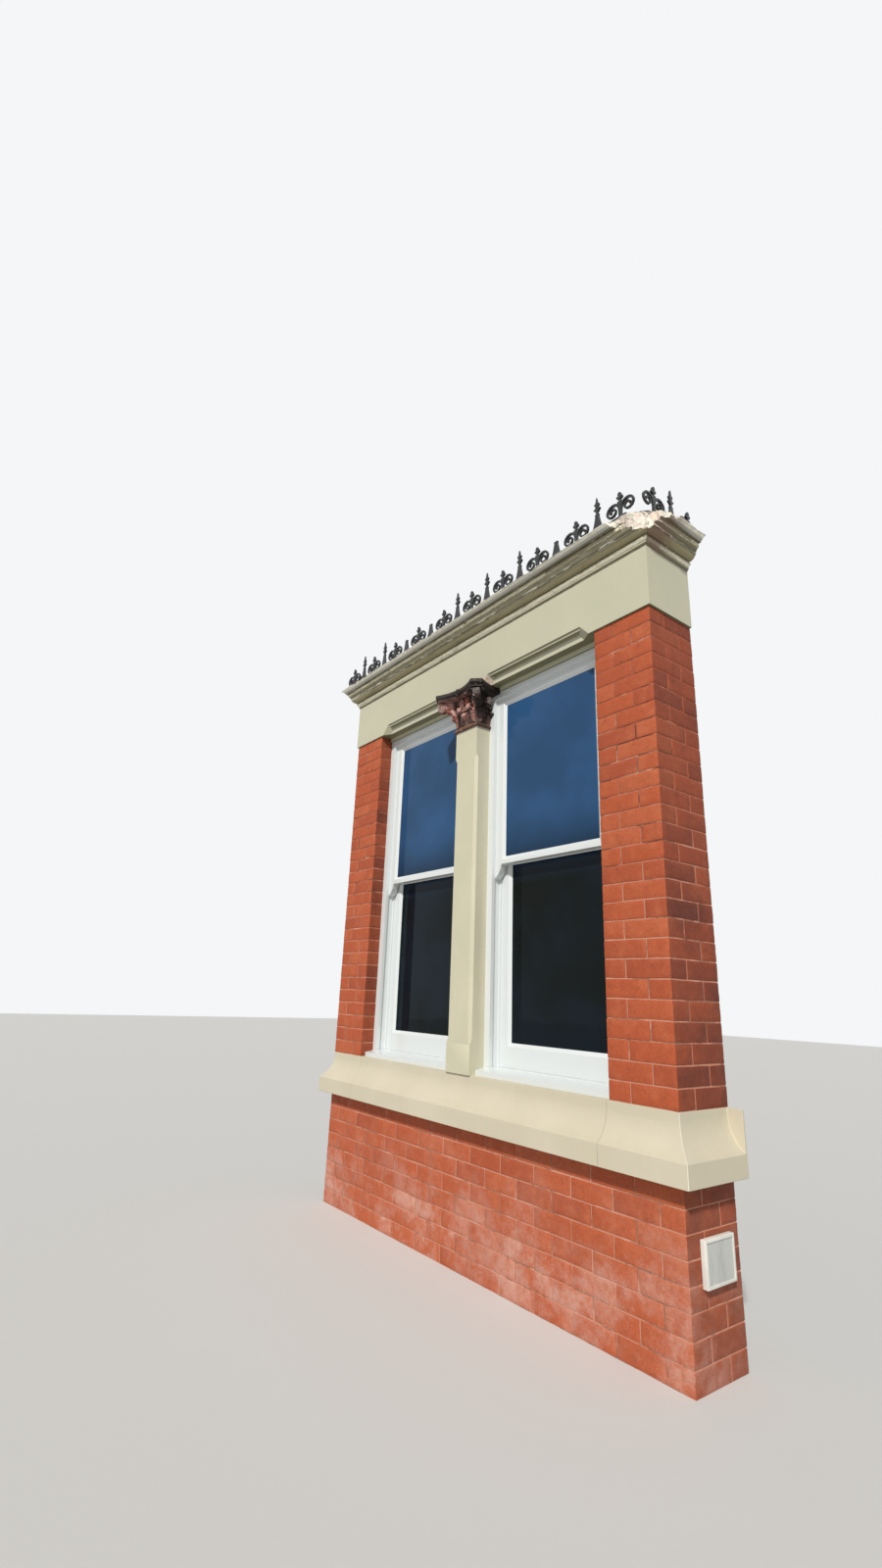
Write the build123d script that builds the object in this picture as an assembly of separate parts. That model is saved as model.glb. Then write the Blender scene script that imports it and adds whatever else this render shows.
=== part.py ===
from build123d import *
import math
import os

os.makedirs("parts", exist_ok=True)

# Bay window of a brick house. Sizes in millimetres.
# The front looks along -Y, +X is to the right seen from outside, Z = 0 is the ground,
# Y = 0 is the face of the house wall that the bay is built against, X = 0 its middle.

# brickwork
header = 113.0                      # one brick end with its joint
course = 82.5                       # four courses rise 330
plaster = 15.0
gap = 0.3                           # clearance left between fitted pieces

# main sizes
bay_width = 24 * header
bay_depth = 3 * header
pier_width = 3 * header
wall_thick = 2 * header + plaster
rebate = header / 2                 # half brick that hides the window boxes
reveal = 92.0                       # brick face back to the window boxes
plinth_height = 8 * course
sill_height = 3 * course
pier_height = 27 * course
half_width = bay_width / 2
sill_top = plinth_height + sill_height
pier_top = sill_top + pier_height

# stone sill
sill_nose = 68.0
sill_upstand = 22.0
sill_sweep_end = 160.0              # depth of the arris under the top of the stone
sill_stool = 12.0                   # square end against the house wall
drip_width = 14.0
drip_depth = 10.0

# mullion and capital
mullion_width = 200.0
stone_proud = 10.0                  # shaft and frieze stand this far before the brick
arris_cut = 16.0
chamfer_start = 150.0
chamfer_stop = 170.0
neck_below = 250.0                  # top of the shaft under the top of the pier
neck_height = 30.0
abacus_height = 42.0
abacus_reach = 198.0                # from the axis to the middle of a corner tip
abacus_tip = 36.0                   # half width of the cut corner tip
abacus_hollow = 44.0                # how far the sides curve in
bell_foot = 95.0
bell_head = 118.0

# frieze and lintel
frieze_height = 328.5
stone_bed = 220.0                   # thickness of frieze and cornice stones
mould_top = 64.5                    # top of the sunk moulding above the pier top
mould_depth = 35.0                  # how far it steps back from the face
mould_band = 24.5                   # height of its lowest fillet
stop_start = 30.0                   # splayed stop, from the side of the light
stop_run = 59.0                     # how far the stop moves in over the full depth
stop_lean = 0.9                     # and with each millimetre of height
check_drop = 27.5                   # lip before the head of the window box
check_thick = 12.0
check_end = 104.0                   # it ends this far from the mullion

# cornice
cornice_reach = 118.0
cornice_height = 166.0

# window boxes and sashes
lining_show = 42.0
lining_thick = 24.7
track = 45.3
bead_thick = 9.4
bead_proud = 8.0
inner_lining = 24.0
stile_back = 12.0                   # pulley stile behind the edge of the lining
head_show = 40.0
sill_board = 43.0
sill_board_nose = 57.0
stile_width = 68.0
top_rail = 42.0
meeting_rail = 44.5
bottom_rail = 107.0
moulding_slope = 18.0
sash_thick = 45.0
glass_thick = 14.0
glass_set = 15.0
glass_lap = 8.0
horn_length = 82.0
meeting_height = 1173.5             # top of the meeting rails above the stone sill

# cast iron cresting
crest_setback = 35.0
crest_thick = 12.0
crest_pitch = 292.5
crest_shift = -29.0
crest_side_setback = 68.0
crest_stop = 162.0                  # right end of the front rail, from the outer corner
side_stop = 84.0                    # front end of the right hand rail, from the front cresting
side_start = 96.0                   # first pair of scrolls on a return
spear_height = 212.0
scroll_height = 107.0
finial_height = 153.0

# cover plate on the right return
cover_start = 78.0                  # behind the brick face
cover_width = 194.0
cover_low = 314.0
cover_height = 160.0
cover_thick = 24.0
cover_rim = 19.0

# floor of the recess
floor_top = 300.0
board_thick = 22.0

# derived sizes
frieze_top = pier_top + frieze_height
cornice_top = frieze_top + cornice_height
light_width = (bay_width - 2 * pier_width - mullion_width) / 2
light_centre = (mullion_width + light_width) / 2
box_half = light_width / 2 + rebate - gap
lining_edge = light_width / 2 - lining_show
stile_face = lining_edge + stile_back
head_bottom = pier_top - check_drop - head_show
box_top = pier_top - gap
inner_face = -bay_depth + wall_thick


def deep(distance):
    """Y of a plane this far behind the brick face."""
    return -bay_depth + distance


def shape(*lines):
    """Flat face inside a closed chain of lines and arcs."""
    return make_face([edge for line in lines for edge in line.edges()])


def facets(curve, count):
    """Curve drawn as short straight cuts."""
    return Polyline(*[curve @ (step / count) for step in range(count + 1)])


def polygon(*points):
    return make_face(Polyline(*points, close=True))


def block(x0, x1, y0, y1, z0, z1):
    middle = ((x0 + x1) / 2, (y0 + y1) / 2, (z0 + z1) / 2)
    return Pos(*middle) * Box(x1 - x0, y1 - y0, z1 - z0)


def plan(points, z0, z1):
    return extrude(Plane.XY.offset(z0) * polygon(*points), z1 - z0)


def elevation(face, y0, y1):
    """Sweep a face drawn in X and Z from y0 back to y1."""
    plane = Plane(origin=(0, y1, 0), x_dir=(1, 0, 0), z_dir=(0, -1, 0))
    return extrude(plane * face, y1 - y0)


def section(face, x0, x1):
    """Sweep a face drawn as (distance behind the brick face, Z) along X."""
    plane = Plane(origin=(x0, -bay_depth, 0), x_dir=(0, 1, 0), z_dir=(1, 0, 0))
    return extrude(plane * face, x1 - x0)


def run(face, reach, bed, side):
    """Moulding drawn as (reach before the brick face, Z), mitred at the bay corners."""
    w = half_width
    d = bay_depth
    if side == "front":
        plane = Plane(origin=(w + reach, -d, 0), x_dir=(0, -1, 0), z_dir=(-1, 0, 0))
        body = extrude(plane * face, 2 * (w + reach))
        corners = [(-w - reach, -d - reach), (w + reach, -d - reach),
                   (w - bed, -d + bed), (-w + bed, -d + bed)]
        return body & plan(corners, 0, cornice_top + 100)
    plane = Plane(origin=(w, 0, 0), x_dir=(1, 0, 0), z_dir=(0, -1, 0))
    body = extrude(plane * face, d + reach)
    corners = [(w + reach, -d - reach), (w + reach, 0), (w - bed, 0), (w - bed, -d + bed)]
    body = body & plan(corners, 0, cornice_top + 100)
    if side == "left":
        return mirror(body, Plane.YZ)
    return body


def plinth_front():
    return block(-half_width, half_width, deep(0), deep(wall_thick), 0, plinth_height)


def plinth_side():
    return block(half_width - wall_thick, half_width, deep(wall_thick), 0, 0, plinth_height)


def sill_face():
    """Stone sill: upstand, swept weathering, square nose and drip groove."""
    z = sill_top
    low = plinth_height
    arris = z - sill_sweep_end
    sweep = ThreePointArc((0, z - sill_upstand), (20, z - 104), (sill_nose, arris))
    outer = Polyline((sill_nose, arris), (sill_nose, low), (sill_nose - 12, low),
                     (sill_nose - 12, low + drip_depth), (sill_nose - 12 - drip_width, low + drip_depth),
                     (sill_nose - 12 - drip_width, low), (-wall_thick, low), (-wall_thick, z), (0, z),
                     (0, z - sill_upstand))
    return shape(sweep, outer)


def sill(side):
    """Sill of one side, with a square stool where it meets the house wall."""
    body = run(sill_face(), sill_nose, wall_thick, side)
    if side == "front":
        return body
    w = half_width
    stool = block(w - 1, w + sill_nose, -sill_stool, 0, plinth_height, sill_top)
    if side == "left":
        stool = mirror(stool, Plane.YZ)
    return body + stool


def pier():
    """Corner pier of the right hand side with its return to the house wall."""
    w = half_width
    inner = w - pier_width
    points = [(w, deep(0)), (w, 0), (w - wall_thick, 0), (w - wall_thick, deep(wall_thick)),
              (inner + rebate, deep(wall_thick)), (inner + rebate, deep(reveal)),
              (inner, deep(reveal)), (inner, deep(0))]
    return plan(points, sill_top, pier_top)


def mullion_shaft():
    """Square stone shaft with stopped chamfers and a narrow tail between the boxes."""
    half = mullion_width / 2
    tail = half - rebate
    neck = pier_top - neck_below
    front = block(-half, half, deep(-stone_proud), deep(reveal), sill_top, neck)
    back = block(-tail, tail, deep(reveal), deep(wall_thick), sill_top, pier_top)
    z0 = sill_top + chamfer_start
    z1 = neck - chamfer_stop
    y = deep(-stone_proud)
    for side in (-1, 1):
        low = polygon((side * half, y), (side * (half - arris_cut), y), (side * half, y + arris_cut))
        point = 0.4
        tip = polygon((side * half, y), (side * (half - point), y), (side * half, y + point))
        middle = extrude(Plane.XY.offset(z0 + 2 * arris_cut) * low, z1 - z0 - 4 * arris_cut)
        foot = loft([Plane.XY.offset(z0) * tip, Plane.XY.offset(z0 + 2 * arris_cut) * low])
        head = loft([Plane.XY.offset(z1 - 2 * arris_cut) * low, Plane.XY.offset(z1) * tip])
        front = front - middle - foot - head
    return front + back


def capital_middle():
    return deep(-stone_proud) + mullion_width / 2


def front_half(part):
    """Keep what stands before the window boxes."""
    w = 2 * mullion_width
    keep = block(-w, w, deep(-w), deep(reveal), pier_top - neck_below, pier_top)
    return part & keep


def capital_neck():
    """Astragal: a half round with a fillet above, square in plan."""
    z = pier_top - neck_below
    half = mullion_width / 2
    y = capital_middle()
    roll = Pos(0, y, z + 9) * Box(2 * half + 27, 2 * half + 27, 18)
    roll = fillet(roll.edges().filter_by(Axis.Z, reverse=True), 8.5)
    fillet_band = Pos(0, y, z + 24) * Box(2 * half + 8, 2 * half + 8, 12)
    return front_half(roll + fillet_band)


def abacus_outline(grow, z):
    """Square with hollow sides and cut corner tips."""
    a = abacus_reach + grow
    t = abacus_tip
    lines = []
    for quarter in range(4):
        turn = quarter * math.pi / 2

        def spin(x, y):
            return (x * math.cos(turn) - y * math.sin(turn), x * math.sin(turn) + y * math.cos(turn))

        k = t / math.sqrt(2)
        start = spin(a + k, a - k)
        tip = spin(a - k, a + k)
        far = spin(-a + k, a + k)
        middle = spin(0, a + k - abacus_hollow)
        side = ThreePointArc(tip, middle, far)
        lines.append(Line(start, tip))
        lines.append(facets(side, 8))
    return Pos(0, capital_middle(), z) * shape(*lines)


def star(points, outer, inner):
    """Rounded petals drawn as a ring of long and short radii."""
    ring = []
    for step in range(2 * points):
        size = outer if step % 2 == 0 else inner
        turn = math.pi * step / points
        ring.append((size * math.cos(turn), size * math.sin(turn)))
    return polygon(*ring)


def capital_abacus():
    """Moulded abacus with a flower on each open side."""
    z = pier_top - abacus_height
    low = extrude(abacus_outline(-12, z), 13)
    slope = loft([abacus_outline(-12, z + 13), abacus_outline(0, z + 22)], ruled=True)
    high = extrude(abacus_outline(0, z + 22), abacus_height - 22)
    body = low + slope + high
    face = abacus_reach + abacus_tip / math.sqrt(2) - abacus_hollow
    r = abacus_height / 2
    flower = extrude(star(6, 1.25 * r, 0.85 * r), 14) + extrude(star(6, 0.8 * r, 0.55 * r), 20)
    flower += extrude(RegularPolygon(0.3 * r, 6), 25)
    for turn in (-90, 0, 180):
        place = Pos(0, capital_middle(), z + abacus_height / 2) * Rot(0, 0, turn) * Pos(face - 6, 0, 0)
        body += place * Rot(0, 90, 0) * flower
    w = 2 * mullion_width
    body = body & block(-w, w, -2 * w, w, z, pier_top)
    return front_half(body)


def leaf(foot, head, z0, z1, width, curl):
    """Acanthus leaf in the XZ plane: rises along the bell, its tip curls outward."""
    rise = z1 - z0
    back = [(foot, z0), (foot + 3, z0 + 0.4 * rise), (head, z0 + 0.8 * rise),
            (head + 0.35 * curl, z0 + 0.95 * rise), (head + 0.7 * curl, z1),
            (head + curl, z0 + 0.93 * rise), (head + curl + 2, z0 + 0.82 * rise)]
    front = [(head + curl - 6, z0 + 0.76 * rise), (head + 0.62 * curl, z0 + 0.84 * rise),
             (head + 11, z0 + 0.72 * rise), (foot + 14, z0 + 0.36 * rise), (foot + 10, z0)]
    side = Plane(origin=(0, width / 2, 0), x_dir=(1, 0, 0), z_dir=(0, -1, 0))
    body = extrude(side * polygon(*(back + front)), width)
    w = width / 2
    half = [(0.62 * w, z0 - 1), (0.8 * w, z0 + 0.22 * rise), (0.66 * w, z0 + 0.3 * rise),
            (w, z0 + 0.5 * rise), (0.78 * w, z0 + 0.58 * rise), (0.86 * w, z0 + 0.76 * rise),
            (0.5 * w, z0 + 0.9 * rise), (0.22 * w, z1 + 1)]
    outline = half + [(-x, z) for x, z in half[::-1]]
    cut = Plane(origin=(0, 0, 0), x_dir=(0, 1, 0), z_dir=(1, 0, 0))
    blade = body & extrude(cut * polygon(*outline), head + curl + 40)
    proud = [(x + 4, z - 1) for x, z in front]
    rib_side = Plane(origin=(0, 5, 0), x_dir=(1, 0, 0), z_dir=(0, -1, 0))
    rib = extrude(rib_side * polygon(*([(foot + 2, z0), (head + 2, z0 + 0.8 * rise)] + proud)), 10)
    return blade + rib


def volute(radius, thick):
    """Scroll standing in the XZ plane with a spiral groove on both faces and a raised eye."""
    disc = extrude(RegularPolygon(radius, 12), thick / 2, both=True)
    eye = extrude(RegularPolygon(0.26 * radius, 6), thick / 2 + 3, both=True)
    outer = []
    inner = []
    for step in range(12):
        turn = math.radians(45 * step)
        middle = radius * (0.8 - 0.036 * step)
        outer.append(((middle + 0.08 * radius) * math.cos(turn), (middle + 0.08 * radius) * math.sin(turn)))
        inner.append(((middle - 0.07 * radius) * math.cos(turn), (middle - 0.07 * radius) * math.sin(turn)))
    groove = polygon(*(outer + inner[::-1]))
    disc -= extrude(Plane.XY.offset(thick / 2 - 4) * groove, 8)
    disc -= extrude(Plane.XY.offset(-thick / 2 - 4) * groove, 8)
    return Rot(90, 0, 0) * (disc + eye)


def capital_bell():
    """Bell with two tiers of leaves and scrolls under the corner tips."""
    z0 = pier_top - neck_below + neck_height
    z1 = pier_top - abacus_height
    low = Plane.XY.offset(z0) * Rectangle(2 * bell_foot, 2 * bell_foot)
    mid = Plane.XY.offset(z0 + 0.62 * (z1 - z0)) * Rectangle(2 * bell_foot + 8, 2 * bell_foot + 8)
    high = Plane.XY.offset(z1) * Rectangle(2 * bell_head, 2 * bell_head)
    body = loft([low, mid], ruled=True) + loft([mid, high], ruled=True)
    pieces = []
    for turn in (-90, 0, 180):
        pieces.append(Rot(0, 0, turn) * leaf(bell_foot - 4, bell_foot + 10, z0, z0 + 70, 66, 22))
        for shift in (-44, 44):
            pieces.append(Rot(0, 0, turn) * Pos(0, shift, 0)
                          * leaf(bell_foot - 6, bell_foot + 8, z0 + 10, z0 + 122, 54, 28))
            stalk = polygon((-shift * 0.15, z0 + 90), (shift * 0.5, z0 + 90), (shift * 0.9, z1 - 40),
                            (shift * 0.3, z1 - 34))
            face = Plane(origin=(bell_foot, 0, 0), x_dir=(0, 1, 0), z_dir=(1, 0, 0))
            pieces.append(Rot(0, 0, turn) * extrude(face * stalk, 26))
        for shift in (-27, 27):
            pieces.append(Rot(0, 0, turn) * Pos(bell_head - 2, shift, z1 - 27) * Rot(0, 0, 90)
                          * volute(24, 26))
    corner = bell_foot * math.sqrt(2)
    tip = abacus_reach * math.sqrt(2) - 44
    stalk = polygon((corner, z1 - 92), (tip - 52, z1 - 74), (tip - 14, z1 - 50), (tip, z1), (corner, z1))
    for turn in (-135, -45):
        pieces.append(Rot(0, 0, turn) * leaf(corner - 8, corner + 6, z0, z0 + 78, 80, 26))
        pieces.append(Rot(0, 0, turn) * leaf(corner - 6, corner + 34, z0 + 24, z0 + 136, 62, 32))
        side = Plane(origin=(0, 15, 0), x_dir=(1, 0, 0), z_dir=(0, -1, 0))
        pieces.append(Rot(0, 0, turn) * extrude(side * stalk, 30))
        pieces.append(Rot(0, 0, turn) * Pos(tip, 0, z1 - 33) * volute(33, 40))
    body = body + pieces
    w = 2 * mullion_width
    body = body & block(-w, w, -w, w, z0, z1)
    return front_half(Pos(0, capital_middle(), 0) * body)


def moulding_cut(centre):
    """Stepped moulding under the front arris over one light, with splayed stops."""
    z = pier_top
    face = -stone_proud
    step = face + 0.26 * mould_depth
    back = face + mould_depth
    top = z + mould_top
    fillet_low = top - 0.23 * mould_top
    cove = ThreePointArc((back, z + mould_band), (face + 0.78 * mould_depth, z + 0.66 * mould_top),
                         (step, fillet_low))
    rest = Polyline((step, fillet_low), (step, top), (face - 2, top), (face - 2, z - 2), (back, z - 2),
                    (back, z + mould_band))
    half = light_width / 2
    body = section(shape(cove, rest), centre - half, centre + half)

    def opening(depth):
        """Outline between the stops at one depth behind the face."""
        low = half - stop_start - stop_run * depth / mould_depth
        high = low - stop_lean * mould_top
        grow = 4
        plane = Plane(origin=(centre, deep(face + depth), 0), x_dir=(1, 0, 0), z_dir=(0, -1, 0))
        w0 = low + grow * stop_lean
        w1 = high - grow * stop_lean
        return plane * polygon((-w0, z - grow), (w0, z - grow), (w1, top + grow), (-w1, top + grow))

    return body & loft([opening(-3), opening(mould_depth + 3)], ruled=True)


def lintel(side):
    """One of the two front stones: frieze face, stopped moulding and rear check."""
    upper = polygon((stone_proud, pier_top), (stone_proud, frieze_top),
                    (-stone_bed + stone_proud, frieze_top), (-stone_bed + stone_proud, pier_top))
    body = run(upper, stone_proud, stone_bed - stone_proud, "front")
    body -= moulding_cut(light_centre)
    near = mullion_width / 2 + check_end
    far = half_width - pier_width - gap
    body += block(near, far, deep(reveal - gap - check_thick), deep(reveal - gap), pier_top - check_drop,
                  pier_top)
    body = body & block(0, half_width + stone_proud, deep(-stone_proud), 0, 0, cornice_top)
    if side < 0:
        return mirror(body, Plane.YZ)
    return body


def frieze_return(side):
    face = polygon((stone_proud, pier_top), (stone_proud, frieze_top),
                   (-stone_bed + stone_proud, frieze_top), (-stone_bed + stone_proud, pier_top))
    return run(face, stone_proud, stone_bed - stone_proud, side)


def cornice_face():
    """Bed roll, cyma, fillet, soffit and moulded top member."""
    def at(reach, rise):
        """Point by its share of the cornice's reach and height."""
        return (stone_proud + reach * cornice_reach, frieze_top + rise * cornice_height)

    cove = facets(ThreePointArc(at(0, 0), at(0.025, 0.048), at(0.076, 0.072)), 3)
    bed = Line(at(0.076, 0.072), at(0.076, 0.15))
    roll = facets(ThreePointArc(at(0.076, 0.15), at(0.186, 0.229), at(0.076, 0.307)), 8)
    step = Line(at(0.076, 0.307), at(0.153, 0.307))
    lower = facets(ThreePointArc(at(0.153, 0.307), at(0.322, 0.343), at(0.441, 0.446)), 5)
    arris = Polyline(at(0.441, 0.446), at(0.483, 0.458), at(0.483, 0.494))
    upper = facets(ThreePointArc(at(0.483, 0.494), at(0.525, 0.59), at(0.653, 0.681)), 5)
    band = Polyline(at(0.653, 0.681), at(0.653, 0.789), at(0.763, 0.789), at(0.763, 0.819))
    crown = facets(Spline(at(0.763, 0.819), at(0.822, 0.849), at(0.881, 0.904), at(0.949, 0.934)), 6)
    back = stone_proud - stone_bed
    rest = Polyline(at(0.949, 0.934), at(1, 0.934), at(1, 1), (back, cornice_top),
                    (back, frieze_top), at(0, 0))
    return shape(cove, bed, roll, step, lower, arris, upper, band, crown, rest)


def broken_corner():
    """Chunk split from the top right corner, as sections that fan round it.

    Each one starts on the top, so far from the outer corner along the front and along the side.
    Then come its turn in degrees and how far out and how far down the split meets the moulding.
    """
    x = half_width + stone_proud + cornice_reach
    y = -bay_depth - stone_proud - cornice_reach
    reach = 220
    spots = [(278, 0, 0, 0, 3), (252, 30, 0, 6, 28), (225, 26, 0, -15, 43), (195, 22, 0, -31, 71),
             (166, 24, 5, -37, 84), (135, 45, 20, -20, 94), (88, 93, 45, 10, 106), (50, 129, 60, 8, 84),
             (28, 155, 75, -9, 45), (15, 193, 90, 2, 17), (15, 233, 90, 0, 19), (0, 256, 90, 0, 3)]
    faces = []
    for along, back, turn, out, drop in spots:
        angle = math.radians(turn)
        outward = Vector(math.sin(angle), -math.cos(angle), 0)
        plane = Plane(origin=(x - along, y + back, cornice_top), x_dir=outward,
                      z_dir=outward.cross(Vector(0, 0, 1)))
        faces.append(plane * polygon((0, 10), (reach, 10), (reach, -drop), (out, -drop)))
    body = loft(faces[:2], ruled=True)
    for number in range(1, len(faces) - 1):
        body += loft(faces[number:number + 2], ruled=True)
    return body


def cornice(side):
    body = run(cornice_face(), stone_proud + cornice_reach, stone_bed - stone_proud, side)
    if side == "left":
        return body
    return body - broken_corner()


def roof_boards():
    """Boarding laid to fall to the front."""
    x = half_width - 110
    front = deep(110)
    z = cornice_top
    face = polygon((110, z), (bay_depth, z), (bay_depth, z + 42), (110, z + 18))
    return section(face, -x, x)


def roof_lead():
    """Lead over the boards, turned down on three sides, with two rolls and a torn corner."""
    x = half_width + stone_proud + cornice_reach - 75
    edge = -stone_proud - cornice_reach + 75
    z = cornice_top
    board = half_width - 110
    slope = 24 / (bay_depth - 110)
    back = z + 24 + slope * (bay_depth - 104)
    face = polygon((edge, z), (edge, z + 6), (104, z + 6), (104, z + 24), (bay_depth, back), (bay_depth, z))
    under = polygon((110 - gap, z - 1), (bay_depth + 1, z - 1), (bay_depth + 1, z + 42 + slope + gap),
                    (110 - gap, z + 18 + gap))
    body = section(face, -x, x)
    side_cut = block(board + 6, x + 1, deep(104), 1, z + 6, z + 100)
    body = body - side_cut - mirror(side_cut, Plane.YZ)
    for place in (-board / 3, board / 3):
        start = Vector(place, deep(106), z + 26)
        finish = Vector(place, -0.5, z + 26 + slope * (bay_depth - 106))
        roll = extrude(Plane(origin=start, z_dir=finish - start) * Circle(17), (finish - start).length)
        body += roll & block(-x, x, deep(100), 0, z + 20, z + 100)
    body = body - section(under, -board - gap, board + gap)
    return body - broken_corner()


def box_ring(half_out, top_out, half_in, top_in, d0, d1):
    """Jambs and head of one layer of a window box."""
    z = sill_top + sill_board
    outer = block(-half_out, half_out, deep(d0), deep(d1), z, top_out)
    inner = block(-half_in, half_in, deep(d0) - 1, deep(d1) + 1, z - 1, top_in)
    return outer - inner


def window_box():
    """Linings, pulley stiles and parting bead of one light, open towards the wall."""
    d1 = reveal + lining_thick
    d2 = d1 + track
    d3 = d2 + bead_thick
    d4 = wall_thick - inner_lining
    shell = stile_face + 25
    head = head_bottom + stile_back
    body = box_ring(box_half, box_top, lining_edge, head_bottom, reveal, d1)
    body += box_ring(shell, box_top, stile_face, head, d1, d2)
    body += box_ring(shell, box_top, stile_face - bead_proud, head - bead_proud, d2, d3)
    body += box_ring(shell, box_top, stile_face, head, d3, d4)
    body += box_ring(box_half, box_top, lining_edge, head_bottom, d4, wall_thick)
    return body


def sill_timber():
    """Weathered timber sill under one window box."""
    z = sill_top
    nose = reveal - sill_board_nose
    half = light_width / 2 - gap
    front = section(polygon((nose, z), (nose, z + 26), (reveal, z + 36), (reveal, z)), -half, half)
    back = section(polygon((reveal, z), (reveal, z + sill_board), (wall_thick, z + sill_board),
                           (wall_thick, z)), -box_half, box_half)
    d4 = reveal + lining_thick + track + bead_thick
    wedge = section(polygon((reveal - 1, z + 36), (reveal - 1, z + sill_board + 1),
                            (d4, z + sill_board + 1), (d4, z + sill_board)),
                    -lining_edge, lining_edge)
    return front + back - wedge


def sash(z0, z1, low_rail, high_rail, depth, horns):
    """Sash frame with moulded inner edge and a groove for the pane."""
    half = stile_face - gap
    back = depth + sash_thick
    body = block(-half, half, deep(depth), deep(back), z0, z1)
    open_half = half - stile_width
    open_low = z0 + low_rail
    open_high = z1 - high_rail
    s = moulding_slope
    sight = block(-open_half + s, open_half - s, deep(depth) - 1, deep(back) + 1,
                  open_low + s, open_high - s)
    middle = (open_low + open_high) / 2

    def rim(grow, d):
        plane = Plane(origin=(0, deep(d), middle), x_dir=(1, 0, 0), z_dir=(0, -1, 0))
        return plane * Rectangle(2 * open_half - 2 * s + 2 * grow, open_high - open_low - 2 * s + 2 * grow)

    slope = loft([rim(s + 1.2, depth - 1), rim(0, depth + glass_set)])
    pocket = block(-open_half + s - glass_lap, open_half - s + glass_lap, deep(depth + glass_set),
                   deep(depth + glass_set + glass_thick), open_low + s - glass_lap, open_high - s + glass_lap)
    body = body - sight - slope - pocket
    if horns:
        curve = ThreePointArc((half, z0 - horn_length), (half - 34, z0 - horn_length + 22),
                              (half - stile_width + 8, z0 - 6))
        rest = Polyline((half - stile_width + 8, z0 - 6), (half - stile_width, z0), (half, z0),
                        (half, z0 - horn_length))
        horn = elevation(shape(curve, rest), deep(depth), deep(back))
        body += horn + mirror(horn, Plane.YZ)
    return body


def pane(z0, z1, low_rail, high_rail, depth):
    """Sealed unit held in the groove of a sash."""
    half = stile_face - gap - stile_width - moulding_slope + glass_lap - gap
    low = z0 + low_rail + moulding_slope - glass_lap + gap
    high = z1 - high_rail - moulding_slope + glass_lap - gap
    return block(-half, half, deep(depth + glass_set), deep(depth + glass_set + glass_thick), low, high)


upper_depth = reveal + lining_thick + gap
lower_depth = reveal + lining_thick + track + bead_thick + gap
upper_low = sill_top + meeting_height - meeting_rail
upper_high = head_bottom + stile_back - gap
lower_low = sill_top + sill_board
lower_high = sill_top + meeting_height
upper_sizes = (upper_low, upper_high, meeting_rail - moulding_slope, top_rail, upper_depth)
lower_sizes = (lower_low, lower_high, bottom_rail, meeting_rail - moulding_slope, lower_depth)


def window_board():
    """Inner sill over the recess, resting on the apron boards."""
    half = half_width - wall_thick
    z = sill_top + sill_board
    board = block(-half, half, inner_face, -gap, z - 25, z)
    return board


def apron():
    """Boarding under the window board."""
    half = half_width - wall_thick
    body = block(-half, half, inner_face, inner_face + 22, floor_top, sill_top + sill_board - 25)
    for place in range(-2, 3):
        x = place * 2 * half / 5
        hollow = block(x - 180, x + 180, inner_face + 14, inner_face + 30, floor_top + 150,
                       sill_top - 90)
        body -= hollow
    return body


def floor_slab():
    half = half_width - wall_thick
    return block(-half, half, inner_face, 0, 0, floor_top - board_thick)


def floor_boards():
    half = half_width - wall_thick
    return block(-half, half, inner_face, 0, floor_top - board_thick, floor_top)


def ceiling():
    half = half_width - stone_bed + stone_proud - gap
    return block(-half, half, deep(stone_bed - stone_proud) + gap, 0, pier_top, pier_top + plaster)


def both_sides(half):
    """Closed outline from its right half, listed upward."""
    return polygon(*(half + [(-x, z) for x, z in half[::-1] if x > 0]))


def spear(height, whole):
    """Upright with a tall flared foot, a collar and a barbed leafy head."""
    face = both_sides([(42, 0), (40, 10), (30, 24), (22, 46), (15, 76), (9, 106)])
    face += Pos(0, 104) * Rectangle(26, 7)
    if whole:
        face += both_sides([(7, 100), (6, 120), (13, 128), (23, 141), (13, 145), (7, 152), (15, 164),
                            (16, 172), (7, 177), (4.5, 190), (0, height)])
    return face


def scroll_half():
    """Ram's horn: rises beside the stem, turns over the top and coils inward."""
    middle = scroll_height / 2 + 4
    reach = scroll_height / 2 - 10
    path = [(3, 4), (2.5, 24)]
    for step in range(15):
        turn = math.radians(180 - 38 * step)
        size = reach * (1 - step / 19)
        path.append((5 + reach + size * math.cos(turn), middle + size * math.sin(turn)))
    spine = Spline(*path)
    outer = []
    inner = []
    steps = 19
    for step in range(steps + 1):
        t = step / steps
        place = spine @ t
        way = spine % t
        thick = 7.4 - 3 * t
        outer.append((place.X - way.Y * thick, place.Y + way.X * thick))
        inner.append((place.X + way.Y * thick, place.Y - way.X * thick))
    ring = Polyline(*(outer + inner[::-1]), close=True)
    eye = Pos(*path[-1]) * RegularPolygon(8.5, 7)
    return make_face(ring) + eye


def scroll_pair(whole):
    """Scrolls back to back on a leafy stem with a trefoil, or one scroll against the wall."""
    half = scroll_half()
    top = finial_height
    face = mirror(half, Plane.YZ)
    face += both_sides([(6, 0), (5, 68), (16, 90), (12, 103), (5, 96), (4, 112), (13, 113), (20, 122),
                        (15, 132), (7, 129), (11, 138), (8, 148), (0, top)])
    if whole:
        return face + half + Pos(0, 5) * Rectangle(110, 10)
    return face + Pos(-27, 5) * Rectangle(56, 10)


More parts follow.
